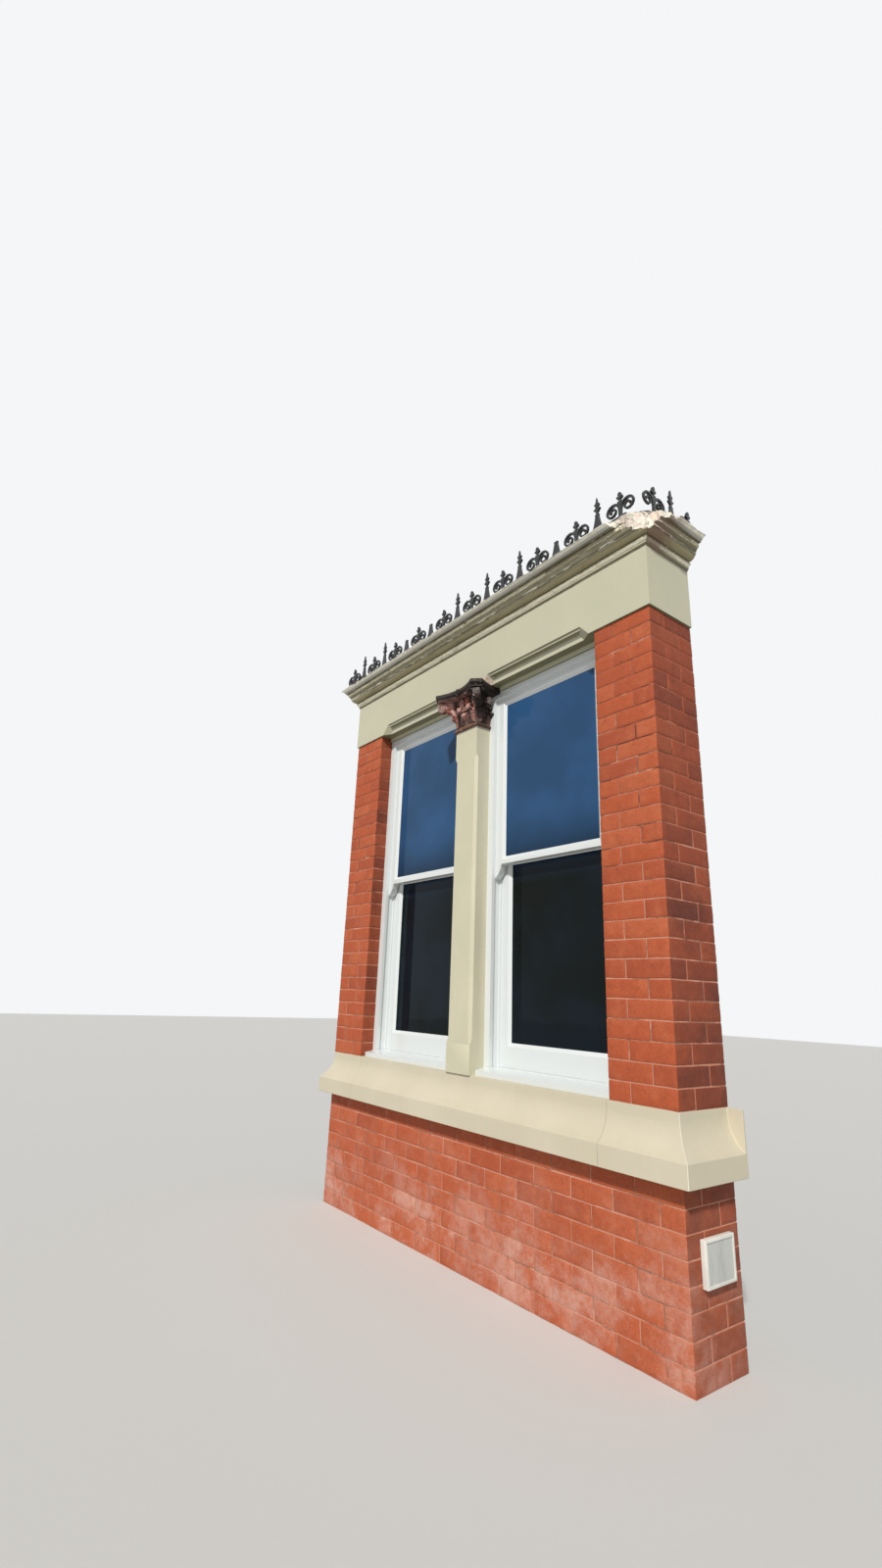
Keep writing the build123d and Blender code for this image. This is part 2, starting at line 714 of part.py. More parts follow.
def crest_line(length_from, length_to, spears, pairs, broken):
    """Flat cresting drawn along its own length, standing on a thin rail."""
    face = Pos((length_from + length_to) / 2, 4) * Rectangle(length_to - length_from, 8)
    for place in spears:
        face += Pos(place, 0) * spear(spear_height, place not in broken)
    for place in pairs:
        whole = place + scroll_height < length_to + 40
        face += Pos(place, 0) * scroll_pair(whole)
    return face


def without_rail(face, low, high):
    """Take the rail away where the stone under it is broken."""
    return face - Pos((low + high) / 2, 5) * Rectangle(high - low, 11)


crest_half = half_width + stone_proud + cornice_reach - crest_setback
crest_front = -bay_depth - stone_proud - cornice_reach + crest_setback


def crest_spears():
    return [crest_shift + crest_pitch * step for step in range(-4, 5)]


def cresting_front(part):
    """Third of the front run, each cast with its own rail."""
    spears = crest_spears()
    broken = [spears[2], spears[3], spears[7]]
    pairs = [place + crest_pitch / 2 for place in [spears[0] - crest_pitch] + spears]
    end = crest_half + crest_thick / 2 + gap
    cuts = [-end, spears[2] + 60, spears[5] + 60, end]
    low = cuts[part]
    high = cuts[part + 1]
    mine = [p for p in spears if low < p < high]
    mine_pairs = [p for p in pairs if low - 5 < p - 90 and p + 90 < high + 5]
    face = crest_line(low + gap, high - gap, mine, mine_pairs, broken)
    limits = Pos((low + high) / 2, spear_height / 2) * Rectangle(high - low - 2 * gap, spear_height)
    face = face & limits
    if part == 2:
        face = without_rail(face, crest_half + crest_setback - crest_stop, end + 1)
    plane = Plane(origin=(0, crest_front + crest_thick / 2, cornice_top), x_dir=(1, 0, 0), z_dir=(0, -1, 0))
    return extrude(plane * face, crest_thick)


def cresting_side(side):
    """Cresting on a return, cut to fit at the wall."""
    length = -crest_front - gap
    start = crest_thick / 2 + gap
    last = side_start + crest_pitch
    face = crest_line(start, length, [side_start + crest_pitch / 2], [side_start, last], [])
    limits = Pos((start + length) / 2, spear_height / 2) * Rectangle(length - start, spear_height)
    face = face & limits
    if side == "right":
        face = without_rail(face, -1, side_stop)
    line = crest_half + crest_setback - crest_side_setback
    corner = (line - crest_thick / 2, crest_front, cornice_top)
    plane = Plane(origin=corner, x_dir=(0, 1, 0), z_dir=(1, 0, 0))
    body = extrude(plane * face, crest_thick)
    if side == "left":
        return mirror(body, Plane.YZ)
    return body


def service_cover():
    """Shallow cover plate on the right return of the plinth."""
    x = half_width
    low = deep(cover_start)
    high = low + cover_width
    top = cover_low + cover_height
    r = cover_rim
    body = block(x, x + cover_thick, low, high, cover_low, top)
    body = chamfer(body.faces().sort_by(Axis.X)[-1].edges(), cover_thick / 3)
    return body - block(x + cover_thick / 2, x + 2 * cover_thick, low + r, high - r, cover_low + r, top - r)


def moved(part, side):
    return Pos(side * light_centre, 0, 0) * part


def build_all():
    """Every sub-part by name, in place."""
    parts = {}
    parts["plinth_front"] = plinth_front()
    parts["plinth_right"] = plinth_side()
    parts["plinth_left"] = mirror(plinth_side(), Plane.YZ)
    for side in ("front", "left", "right"):
        parts["sill_" + side] = sill(side)
    parts["pier_right"] = pier()
    parts["pier_left"] = mirror(pier(), Plane.YZ)
    parts["mullion_shaft"] = mullion_shaft()
    parts["capital_neck"] = capital_neck()
    parts["capital_bell"] = capital_bell()
    parts["capital_abacus"] = capital_abacus()
    for name, side in (("left", -1), ("right", 1)):
        parts["lintel_" + name] = lintel(side)
        parts["frieze_" + name] = frieze_return(name)
        parts["window_box_" + name] = moved(window_box(), side)
        parts["timber_sill_" + name] = moved(sill_timber(), side)
        parts["sash_upper_" + name] = moved(sash(*upper_sizes, True), side)
        parts["sash_lower_" + name] = moved(sash(*lower_sizes, False), side)
        parts["glass_upper_" + name] = moved(pane(*upper_sizes), side)
        parts["glass_lower_" + name] = moved(pane(*lower_sizes), side)
        parts["cresting_" + name] = cresting_side(name)
    for side in ("front", "left", "right"):
        parts["cornice_" + side] = cornice(side)
    for number in range(3):
        parts["cresting_front_" + "abc"[number]] = cresting_front(number)
    parts["roof_boards"] = roof_boards()
    parts["roof_lead"] = roof_lead()
    parts["ceiling"] = ceiling()
    parts["floor_slab"] = floor_slab()
    parts["floor_boards"] = floor_boards()
    parts["window_board"] = window_board()
    parts["apron"] = apron()
    parts["service_cover"] = service_cover()
    return parts


for name, part in build_all().items():
    part.label = name
    export_step(part, "parts/" + name + ".step")
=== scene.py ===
import math
import random

import bmesh
import bpy
from mathutils import Matrix, Vector, noise


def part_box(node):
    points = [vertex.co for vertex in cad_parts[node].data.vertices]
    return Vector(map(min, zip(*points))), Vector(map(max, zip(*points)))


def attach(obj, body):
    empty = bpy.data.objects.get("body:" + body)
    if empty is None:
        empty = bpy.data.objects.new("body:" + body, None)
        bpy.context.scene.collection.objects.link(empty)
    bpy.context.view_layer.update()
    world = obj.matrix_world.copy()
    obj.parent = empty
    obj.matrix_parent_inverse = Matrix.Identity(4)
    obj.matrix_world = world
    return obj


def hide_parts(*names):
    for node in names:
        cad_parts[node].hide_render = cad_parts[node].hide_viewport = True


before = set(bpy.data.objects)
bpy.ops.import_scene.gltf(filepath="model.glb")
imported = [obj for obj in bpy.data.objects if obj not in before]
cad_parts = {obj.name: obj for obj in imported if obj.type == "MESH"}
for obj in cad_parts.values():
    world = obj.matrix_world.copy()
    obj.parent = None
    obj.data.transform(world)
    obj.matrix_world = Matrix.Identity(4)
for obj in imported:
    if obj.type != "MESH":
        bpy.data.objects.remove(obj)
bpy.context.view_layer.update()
random.seed(41)
noise.seed_set(41)


# a node's lowest and highest corner, to a tenth of a millimetre
def corners(node):
    return [[round(c, 4) for c in corner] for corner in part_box(node)]


def near(a, b, within=0.001):
    return abs(a - b) < within


# sizes shared by several pieces, in metres
pierLow, pierHigh = corners("pier_right")
corniceLow, corniceHigh = corners("cornice_left")
shaftLow, shaftHigh = corners("mullion_shaft")
bellLow, bellHigh = corners("capital_bell")

bay = {
    "halfWidth": pierHigh[0],
    "depth": -pierLow[1],
    "jamb": pierLow[0],        # side of the pier at the opening
    "sillTop": pierLow[2],
    "header": 0.113,           # end of a brick with its joint
    "course": 0.0825,
    "joint": 0.0055,
    "plaster": 0.015,
    "reveal": 0.092,           # face of the bricks to the window box
}

cornice = {
    "side": -corniceLow[0],
    "front": corniceLow[1],
    "foot": corniceLow[2],
    "top": corniceHigh[2],
}

capital = {
    "middle": shaftLow[1] + shaftHigh[0],    # axis of the square mullion
    "foot": bellLow[2],
    "head": bellHigh[2],
    "bell": 0.095,                           # half its width at the foot, without the leaves
    "cut": bellHigh[1] - 0.0002,             # nothing goes behind this plane
}


# colours are written as they look on screen
def paint(hexText):
    parts = [int(hexText[k:k + 2], 16) / 255 for k in (0, 2, 4)]
    return tuple(c / 12.92 if c < 0.04045 else ((c + 0.055) / 1.055) ** 2.4 for c in parts) + (1.0,)


# one shader value: sums and products on it add Math nodes
class Value:
    def __init__(self, nodes, socket):
        self.nodes = nodes
        self.socket = socket

    def maths(self, operation, first, second=0.0):
        return self.nodes.node("ShaderNodeMath", {"operation": operation}, {0: first, 1: second})

    def __add__(self, other):
        return self.maths("ADD", self, other)

    def __radd__(self, other):
        return self.maths("ADD", other, self)

    def __sub__(self, other):
        return self.maths("SUBTRACT", self, other)

    def __rsub__(self, other):
        return self.maths("SUBTRACT", other, self)

    def __neg__(self):
        return self.maths("SUBTRACT", 0, self)

    def __mul__(self, other):
        return self.maths("MULTIPLY", self, other)

    def __rmul__(self, other):
        return self.maths("MULTIPLY", other, self)

    def __truediv__(self, other):
        return self.maths("DIVIDE", self, other)

    def __pow__(self, other):
        return self.maths("POWER", self, other)

    def __abs__(self):
        return self.maths("ABSOLUTE", self)

    def larger(self, other):
        return self.maths("MAXIMUM", self, other)

    # smooth 0 to 1 between two values
    def between(self, low, high):
        return self.nodes.node("ShaderNodeMapRange", {"interpolation_type": "SMOOTHSTEP"},
                               {"Value": self, "From Min": low, "From Max": high})


# the nodes of a material or of the world
class Nodes:
    def __init__(self, owner):
        owner.use_nodes = True
        self.owner = owner
        self.tree = owner.node_tree
        self.tree.nodes.clear()

    # any node: its settings first, then the values or links of its sockets
    def node(self, kind, settings, sockets, out=0):
        made = self.tree.nodes.new(kind)
        for key, value in settings.items():
            if key == "stops":
                self.fillRamp(made.color_ramp, value)
            else:
                setattr(made, key, value)
        for key, value in sockets.items():
            if isinstance(value, Value):
                self.tree.links.new(value.socket, made.inputs[key])
            else:
                made.inputs[key].default_value = value
        return Value(self, made.outputs[out]) if made.outputs else None

    def fillRamp(self, ramp, stops):
        ramp.elements.remove(ramp.elements[1])
        ramp.elements[0].position, ramp.elements[0].color = stops[0]
        for spot, colour in stops[1:]:
            ramp.elements.new(spot).color = colour


# one material under construction
class Finish(Nodes):
    def __init__(self, name):
        super().__init__(bpy.data.materials.new(name))
        self.place = self.node("ShaderNodeTexCoord", {}, {}, "Object")

    def grain(self, scale, detail, rough, place=None, warp=0.0):
        return self.node("ShaderNodeTexNoise", {}, {"Vector": place or self.place, "Scale": scale,
                                                    "Detail": detail, "Roughness": rough, "Distortion": warp})

    def stretched(self, x, y, z):
        return self.node("ShaderNodeMapping", {}, {"Vector": self.place, "Scale": (x, y, z)})

    def axis(self, letter):
        return self.node("ShaderNodeSeparateXYZ", {}, {0: self.place}, letter)

    def facing(self, letter):
        normal = self.node("ShaderNodeNewGeometry", {}, {}, "Normal")
        return self.node("ShaderNodeSeparateXYZ", {}, {0: normal}, letter)

    # the colour sockets of a Mix node are found by number
    def mix(self, mask, first, second):
        return self.node("ShaderNodeMix", {"data_type": "RGBA"}, {0: mask, 6: first, 7: second}, 2)

    def bump(self, height, distance):
        return self.node("ShaderNodeBump", {}, {"Height": height, "Distance": distance})

    def close(self, colour, roughness, normal=None, **fixed):
        sockets = {"Base Color": colour, "Roughness": roughness}
        if normal:
            sockets["Normal"] = normal
        sockets.update({key.replace("_", " "): value for key, value in fixed.items()})
        shader = self.node("ShaderNodeBsdfPrincipled", {}, sockets)
        self.node("ShaderNodeOutputMaterial", {}, {"Surface": shader})
        return self.owner


# finishes

def makeBrick():
    look = {"fair": "B5552E", "deep": "9A462A", "pale": "C77049", "soot": "4A2A20", "bloom": "DDBBAE",
            "shade": "662C19", "bloomFoot": 0.1, "bloomHead": 0.68}
    f = Finish("brickFace")
    tone = f.node("ShaderNodeAttribute", {"attribute_name": "tone"}, {}, "Fac")
    fine = f.grain(85, 7, 0.7)
    cloud = f.grain(11, 5, 0.65, warp=0.3)
    colour = f.mix(tone.between(0.0, 0.45) * 0.55 + 0.45, paint(look["deep"]), paint(look["fair"]))
    colour = f.mix(tone.between(0.7, 1.0) * 0.35, colour, paint(look["pale"]))
    colour = f.mix(fine.between(0.36, 0.66) * 0.42, colour, paint(look["deep"]))
    colour = f.mix(cloud.between(0.46, 0.7) * 0.4, colour, paint(look["pale"]))
    blot = f.grain(26, 6, 0.7, warp=0.5).between(0.56, 0.7)
    colour = f.mix(blot * 0.35, colour, paint(look["shade"]))
    pits = f.grain(230, 4, 0.55).between(0.6, 0.68)
    colour = f.mix(pits * 0.5, colour, paint(look["soot"]))
    # painted shade on the returns, with grime and damp stains over it
    side = f.facing("X").between(0.3, 0.9)
    grime = f.grain(3.4, 5, 0.62, warp=0.4).between(0.42, 0.68)
    stainAndShade = side * (grime * 0.35 + (1 - tone).between(0.5, 1.0) * 0.25 + 0.45)
    colour = f.mix(stainAndShade, colour, paint(look["shade"]))
    # salt bloom at the foot
    low = 1 - f.axis("Z").between(look["bloomFoot"], look["bloomHead"])
    salt = f.grain(3.2, 9, 0.78).between(0.42, 0.66)
    colour = f.mix(low * 0.22, colour, paint(look["pale"]))
    colour = f.mix(low * salt * (1 - side * 0.4) * (0.3 + tone * 0.35), colour, paint(look["bloom"]))
    specks = f.grain(48, 5, 0.7).between(0.66, 0.74)
    colour = f.mix(specks * (low * 0.5 + 0.22), colour, paint(look["bloom"]))
    drag = f.grain(1.0, 3, 0.5, f.stretched(160, 160, 14))
    normal = f.bump(fine * 0.8 + pits * -0.8 + f.grain(30, 5, 0.6) * 1.2 + drag * 0.5, 0.002)
    return f.close(colour, f.grain(40, 3, 0.5).between(0.2, 0.8) * 0.18 + 0.68, normal)


def makeMortar():
    look = {"low": "C98C74", "pale": "DDB5A2", "high": "9E5136", "darkGritAndShade": "3E241C"}
    f = Finish("mortarJoint")
    sand = f.grain(320, 3, 0.6)
    patch = f.grain(7, 5, 0.65)
    colour = f.mix(f.axis("Z").between(1.5, 2.6) * 0.85, paint(look["low"]), paint(look["high"]))
    colour = f.mix(patch.between(0.5, 0.7) * 0.6, colour, paint(look["pale"]))
    # gaps where the joint has washed out, painted dark as shade in them, more so higher up
    shadedGaps = f.grain(5.5, 6, 0.7).between(0.5, 0.6)
    colour = f.mix(shadedGaps * (f.axis("Z").between(1.2, 2.4) * 0.35 + 0.45), colour, paint(look["darkGritAndShade"]))
    colour = f.mix(sand.between(0.5, 0.8) * 0.3, colour, paint(look["darkGritAndShade"]))
    return f.close(colour, 0.92, f.bump(sand + patch - shadedGaps, 0.0016))


# painted stone; seam, lost and the painted highlight on the sill's corner arris are there only for the stones
# that show them
creamLooks = {
    "shaft": {"base": "C6C2A9", "warm": "CDC8AF", "dirt": "88835F", "grime": "6F6B58", "stone": "B79F88",
              "underShade": 0.35, "streaks": 0.05, "topDirt": 0.4, "chips": 0.8},
    "frieze": {"base": "BFBEA6", "warm": "C5C2A9", "dirt": "66633F", "grime": "5A5741", "stone": "C9AFA0",
               "underShade": 0.85, "streaks": 0.03, "topDirt": 0.75, "chips": 0.78,
               "lost": {"x": 0.162, "z": 3.158, "reach": 0.05, "stone": "D9BDAC"}},
    "sill": {"base": "C9C1AA", "warm": "CFC7B1", "dirt": "A0957B", "grime": "A89C80", "stone": "C4A990",
             "underShade": 0.3, "streaks": 0.05, "topDirt": 0.12, "chips": 0.77,
             "seam": 1.002, "cornerHighlight": {"share": 0.75, "paint": "FFFBF0"}},
}


def makeCream(name, look):
    f = Finish(name)
    up = f.facing("Z")
    streak = f.grain(1.0, 6, 0.62, f.stretched(38, 38, 2.2)).between(0.5, 0.76)
    cloud = f.grain(2.6, 5, 0.55)
    colour = f.mix(cloud.between(0.36, 0.7), paint(look["base"]), paint(look["warm"]))
    # painted shade on the faces that look down, in the dirt colour
    colour = f.mix((-up).between(0.15, 0.8) * look["underShade"], colour, paint(look["dirt"]))
    colour = f.mix(streak * look["streaks"], colour, paint(look["dirt"]))
    moss = f.grain(14, 6, 0.7, warp=0.6).between(0.36, 0.62)
    colour = f.mix(up.between(0.35, 0.9) * moss * look["topDirt"], colour, paint(look["grime"]))
    chips = f.grain(24, 6, 0.66, warp=0.6).between(look["chips"], look["chips"] + 0.02)
    colour = f.mix(chips * 0.8, colour, paint(look["stone"]))
    brush = f.grain(1.0, 3, 0.5, f.stretched(30, 30, 190))
    relief = brush * 0.3 + f.grain(120, 4, 0.6) * 0.4 + f.grain(12, 3, 0.5) * 0.9 - chips * 0.8
    across = abs(f.axis("X"))
    if "seam" in look:
        # hairline where two stones meet
        seam = 1 - abs(across - look["seam"]).between(0.0005, 0.0016)
        colour = f.mix(seam * 0.6, colour, paint(look["grime"]))
        relief = relief - seam
    if "lost" in look:
        # paint lost beside the capital
        lost = look["lost"]
        away = (f.axis("X") - lost["x"]) ** 2 + (f.axis("Z") - lost["z"]) ** 2
        spot = (1 - away.between(0.0001, lost["reach"] ** 2)) * (-f.facing("Y")).between(0.5, 0.9)
        ragged = f.grain(42, 6, 0.7, warp=0.4).between(0.4, 0.5)
        colour = f.mix(spot.between(0.25, 0.5) * ragged * 0.85, colour, paint(lost["stone"]))
    if "cornerHighlight" in look:
        # painted highlight on the arris where the sill turns the corner
        turn = abs(across + f.axis("Y") - (bay["halfWidth"] - bay["depth"]))
        arris = (1 - turn.between(0.001, 0.0026)) * cloud.between(0.2, 0.45)
        colour = f.mix(arris * look["cornerHighlight"]["share"], colour, paint(look["cornerHighlight"]["paint"]))
    return f.close(colour, cloud.between(0.3, 0.8) * 0.12 + 0.5, f.bump(relief, 0.0011))


def makeCorniceCream():
    look = {"base": "BFBB9E", "warm": "CDC7AB", "shadeOlive": "655D3F", "grime": "4D4936", "bare": "C2C0B5",
            "bareDark": "8A887C", "flakeAndHighlight": "F0EAD9", "roll": "D2CFBE", "stainAndShade": "7C6453"}
    # painted light and shade: how pale or dark each moulding is drawn, as heights from its foot up and the
    # tone there
    lightAndShade = {
        "cove": ((3.4635, 0.3), (3.468, 0.5), (3.4735, 0.8)),
        "bed": ((3.48, 0.88), (3.4868, 1.0)),
        "roll": ((3.4882, 1.5), (3.4915, 1.7), (3.4945, 1.5), (3.498, 1.0), (3.513, 0.95)),
        "lower": ((3.516, 1.5), (3.5275, 1.8), (3.534, 1.55)),
        "arris": ((3.5395, 0.76),),
        "upper": ((3.55, 0.62), (3.5585, 0.52), (3.564, 1.15), (3.5694, 1.35), (3.5735, 1.9), (3.5765, 1.9)),
        "band": ((3.579, 1.6), (3.59, 1.5), (3.5935, 0.42), (3.597, 0.7)),
        "crown": ((3.604, 0.92), (3.609, 1.1), (3.6135, 1.55), (3.6178, 2.1)),
        "top": ((3.62, 1.1),),
    }
    strongest = 3.0
    roll = (3.488, 3.4955)
    bareTop = (3.597, 3.6)
    # hollows with painted shade, and edges that have lost their paint, with how much of each
    hollows = {(3.5145, 3.5375): 0.45, (3.5455, 3.5765): 0.62}
    arrises = {(3.539, 3.5515): 0.6, (3.573, 3.5785): 1.0, (3.615, 3.6195): 0.7, (3.4885, 3.4915): 0.6}
    # a pale line along the fillet under the band: painted highlight
    ridgeHighlight = {(3.573, 3.5785): 0.45}
    f = Finish("cornicePaint")
    height = f.axis("Z")
    up = f.facing("Z")
    # the mouldings, without the back of the stones
    before = -f.axis("Y") - bay["depth"]
    outer = (abs(f.axis("X")) - bay["halfWidth"]).larger(before).between(-0.004, 0.002)

    def band(low, high):
        above = height.between(low - 0.002, low + 0.001)
        below = 1 - height.between(high - 0.001, high + 0.002)
        return above * below * outer

    def bands(shares):
        return sum(band(*spots) * share for spots, share in shares.items())

    cloud = f.grain(1.0, 6, 0.66, f.stretched(8, 8, 60), 0.4)
    fine = f.grain(60, 6, 0.7)
    colour = f.mix(cloud.between(0.36, 0.66), paint(look["base"]), paint(look["warm"]))
    # painted shade: olive on the faces that look down, and below in the hollows
    colour = f.mix((-up).between(0.1, 0.8) * 0.75, colour, paint(look["shadeOlive"]))
    colour = f.mix(bands(hollows) * (fine.between(0.3, 0.6) * 0.4 + 0.6), colour, paint(look["shadeOlive"]))
    damp = f.grain(1.0, 7, 0.7, f.stretched(5, 5, 26), 0.5).between(0.5, 0.66) * outer
    colour = f.mix(damp * 0.4, colour, paint(look["grime"]))
    # painted highlight on the bed roll
    colour = f.mix(band(*roll) * (0.9 - damp * 0.35), colour, paint(look["roll"]))
    top = height.between(*bareTop)
    colour = f.mix(top * (cloud.between(0.3, 0.55) * 0.25 + 0.72), colour, paint(look["bare"]))
    colour = f.mix(top * fine.between(0.54, 0.7) * 0.45, colour, paint(look["bareDark"]))
    # the tones of painted light and shade scale the colour, from a ramp that holds them as shares of the
    # strongest
    rise = cornice["top"] - cornice["foot"]
    stops = [((spot - cornice["foot"]) / rise, (tone / strongest,) * 3 + (1,))
             for spots in lightAndShade.values() for spot, tone in spots]
    ramp = f.node("ShaderNodeValToRGB", {"stops": stops}, {0: (height - cornice["foot"]) / rise})
    scale = (ramp * strongest - 1) * outer + 1
    colour = f.node("ShaderNodeVectorMath", {"operation": "SCALE"}, {0: colour, "Scale": scale})
    colour = f.mix(up.between(0.35, 0.9) * fine.between(0.36, 0.6) * 0.8, colour, paint(look["grime"]))
    # the right return is browner near its corner: brown soiling with painted shadow
    beyond = (f.axis("X") + f.axis("Y") - (bay["halfWidth"] - bay["depth"])).between(-0.002, 0.002)
    stainedAndShaded = beyond * outer * (-f.axis("Y")).between(0.12, 0.3)
    colour = f.mix(stainedAndShaded * (cloud.between(0.3, 0.5) * 0.2 + 0.62), colour, paint(look["stainAndShade"]))
    # paint flaked off along the arrises, and here and there, with the painted highlight on the fillet
    bare = f.grain(1.0, 7, 0.68, f.stretched(11, 11, 40), 0.5).between(0.52, 0.56)
    loose = f.grain(1.0, 6, 0.66, f.stretched(12, 12, 90), 0.6).between(0.67, 0.7)
    lost = bands(arrises) * bare * 0.9 + bands(ridgeHighlight) + loose * outer * 0.7
    colour = f.mix(lost, colour, paint(look["flakeAndHighlight"]))
    relief = f.grain(120, 4, 0.6) * 0.5 + f.grain(14, 4, 0.6) * 1.4 + fine * 0.5 - lost
    return f.close(colour, cloud.between(0.3, 0.8) * 0.15 + 0.6, f.bump(relief, 0.0018))


def makeRawStone():
    look = {"pale": "F0EADC", "warm": "E6D2C2", "dark": "A8937F"}
    f = Finish("brokenStone")
    rough = f.grain(60, 7, 0.7)
    patch = f.grain(16, 5, 0.65)
    colour = f.mix(patch.between(0.46, 0.64), paint(look["pale"]), paint(look["warm"]))
    colour = f.mix(rough.between(0.56, 0.76) * 0.4, colour, paint(look["dark"]))
    return f.close(colour, 0.88, f.bump(rough * 1.2 + patch, 0.003))


def makeCarved():
    look = {"red": "9A5A4C", "rose": "CBA096", "soot": "171411", "brown": "3E2820", "lime": "DDD8CC",
            "grey": "8E8580", "ochreHighlight": "80623C", "blush": "EBD3CA"}
    foot, head = capital["foot"], capital["head"]
    f = Finish("carvedStone")
    height = f.axis("Z")
    # how far the carving stands off the bell behind it
    out = abs(f.axis("X")).larger(abs(f.axis("Y") - capital["middle"]))
    relief = out - capital["bell"] - (height - foot) * 0.1
    ragged = f.grain(11, 6, 0.7, warp=0.5).between(0.36, 0.6)
    small = f.grain(55, 6, 0.7)
    colour = f.mix(f.grain(22, 6, 0.65).between(0.4, 0.62), paint(look["red"]), paint(look["rose"]))
    colour = f.mix(small.between(0.52, 0.68) * 0.4, colour, paint(look["brown"]))
    # painted shade in the recesses of the carving, dark as soot
    colour = f.mix((1 - relief.between(0.006, 0.024)) * 0.85, colour, paint(look["soot"]))
    # the weather side and everything under the abacus is black
    side = f.axis("X").between(0.08, 0.125)
    high = height.between(head - 0.01, head + 0.007)
    black = (side * 0.78 + high * 0.95 + ragged * 0.16).between(0.45, 0.9)
    sooty = f.mix(small.between(0.46, 0.62), paint(look["soot"]), paint(look["brown"]))
    colour = f.mix(black, colour, sooty)
    left = (1 - f.axis("X").between(-0.19, -0.11)) * (1 - height.between(head - 0.003, head + 0.002))
    colour = f.mix(left * 0.55, colour, paint(look["soot"]))
    colour = f.mix(left * ragged * 0.6, colour, paint(look["grey"]))
    neck = 1 - height.between(foot - 0.002, foot + 0.002)
    # a thin ochre line round the neck: painted highlight
    ochreHighlight = neck * (1 - side) * height.between(foot - 0.018, foot - 0.012)
    colour = f.mix(neck * 0.75, colour, paint(look["brown"]))
    colour = f.mix(ochreHighlight * 0.7, colour, paint(look["ochreHighlight"]))
    # lighter scroll beside the window, and a painted grey sheen on the scroll at the front corner
    scrollFoot = height.between(head - 0.057, head - 0.049)
    scroll = scrollFoot * (1 - height.between(head - 0.009, head - 0.003))
    rear = f.axis("X").between(0.098, 0.106) * f.axis("Y").between(-0.302, -0.292) * scroll
    colour = f.mix(rear * small.between(0.36, 0.5) * 0.9, colour, paint(look["blush"]))
    tipSheen = f.axis("X").between(0.12, 0.14) * (1 - f.axis("Y").between(-0.385, -0.37)) * scroll
    colour = f.mix(tipSheen * small.between(0.42, 0.56) * 0.55, colour, paint(look["grey"]))
    spot = f.grain(38, 5, 0.55, warp=0.3).between(0.66, 0.69)
    colour = f.mix(spot * 0.8, colour, paint(look["lime"]))
    normal = f.bump(f.grain(150, 5, 0.65) + small * 1.5, 0.0022)
    return f.close(colour, 0.6 + small * 0.25, normal)


def makeGloss():
    look = {"white": "DADFDF", "dirt": "BDBBB2", "dust": "B4B0A4"}
    f = Finish("whiteGloss")
    dirt = f.grain(5, 6, 0.65, warp=0.4).between(0.55, 0.8)
    top = f.facing("Z").between(0.5, 0.95)
    colour = f.mix(dirt * 0.12, paint(look["white"]), paint(look["dirt"]))
    colour = f.mix(top * f.grain(24, 5, 0.65).between(0.55, 0.8) * 0.1, colour, paint(look["dust"]))
    brush = f.grain(1.0, 2, 0.5, f.stretched(110, 110, 7)) * (1 - top)
    normal = f.bump(brush * 0.6 + f.grain(18, 2, 0.5), 0.0003)
    return f.close(colour, 0.22 + dirt * 0.15, normal, Coat_Weight=0.25)


def makePane():
    look = {"low": "0B110F", "high": "2F557F", "haze": "1A2A3C", "turn": (1.9, 2.35)}
    f = Finish("paneWithPaintedReflection")
    haze = f.grain(2.2, 3, 0.5)
    # painted reflection: dark green below, blue above
    deep = f.mix(f.axis("Z").between(*look["turn"]), paint(look["low"]), paint(look["high"]))
    colour = f.mix(haze.between(0.35, 0.7) * 0.35, deep, paint(look["haze"]))
    dust = f.grain(18, 6, 0.7).between(0.5, 0.8)
    return f.close(colour, 0.03 + dust * 0.05, f.bump(haze, 0.0006), Alpha=0.995, IOR=1.45,
                   Specular_IOR_Level=0.11)


def makeIron():
    look = {"black": "17181A", "worn": "2A2B2E", "rust": "6B3A26", "pale": "9AA0A4"}
    f = Finish("castIron")
    rust = f.grain(24, 6, 0.7, warp=0.5).between(0.6, 0.72)
    colour = f.mix(f.grain(60, 4, 0.6).between(0.4, 0.7), paint(look["black"]), paint(look["worn"]))
    colour = f.mix(rust * 0.75, colour, paint(look["rust"]))
    # pale grey specks: painted glints
    pale = f.grain(75, 4, 0.6).between(0.7, 0.76)
    colour = f.mix(pale * 0.5, colour, paint(look["pale"]))
    normal = f.bump(f.grain(210, 4, 0.6) + f.grain(50, 3, 0.5) * 1.5 + rust, 0.0012)
    return f.close(colour, 0.38 + rust * 0.4, normal)


def makeLead():
    look = {"dark": "6F7377", "light": "9B9EA0", "chalk": "C3C2BA"}
    f = Finish("sheetLead")
    cloud = f.grain(6, 6, 0.65, warp=0.5)
    colour = f.mix(cloud.between(0.35, 0.68), paint(look["dark"]), paint(look["light"]))
    colour = f.mix(f.grain(22, 6, 0.7).between(0.56, 0.72) * 0.5, colour, paint(look["chalk"]))
    normal = f.bump(f.grain(9, 3, 0.5) * 2 + f.grain(90, 4, 0.6) * 0.4, 0.003)
    return f.close(colour, 0.48 + cloud * 0.2, normal, Metallic=0.25)


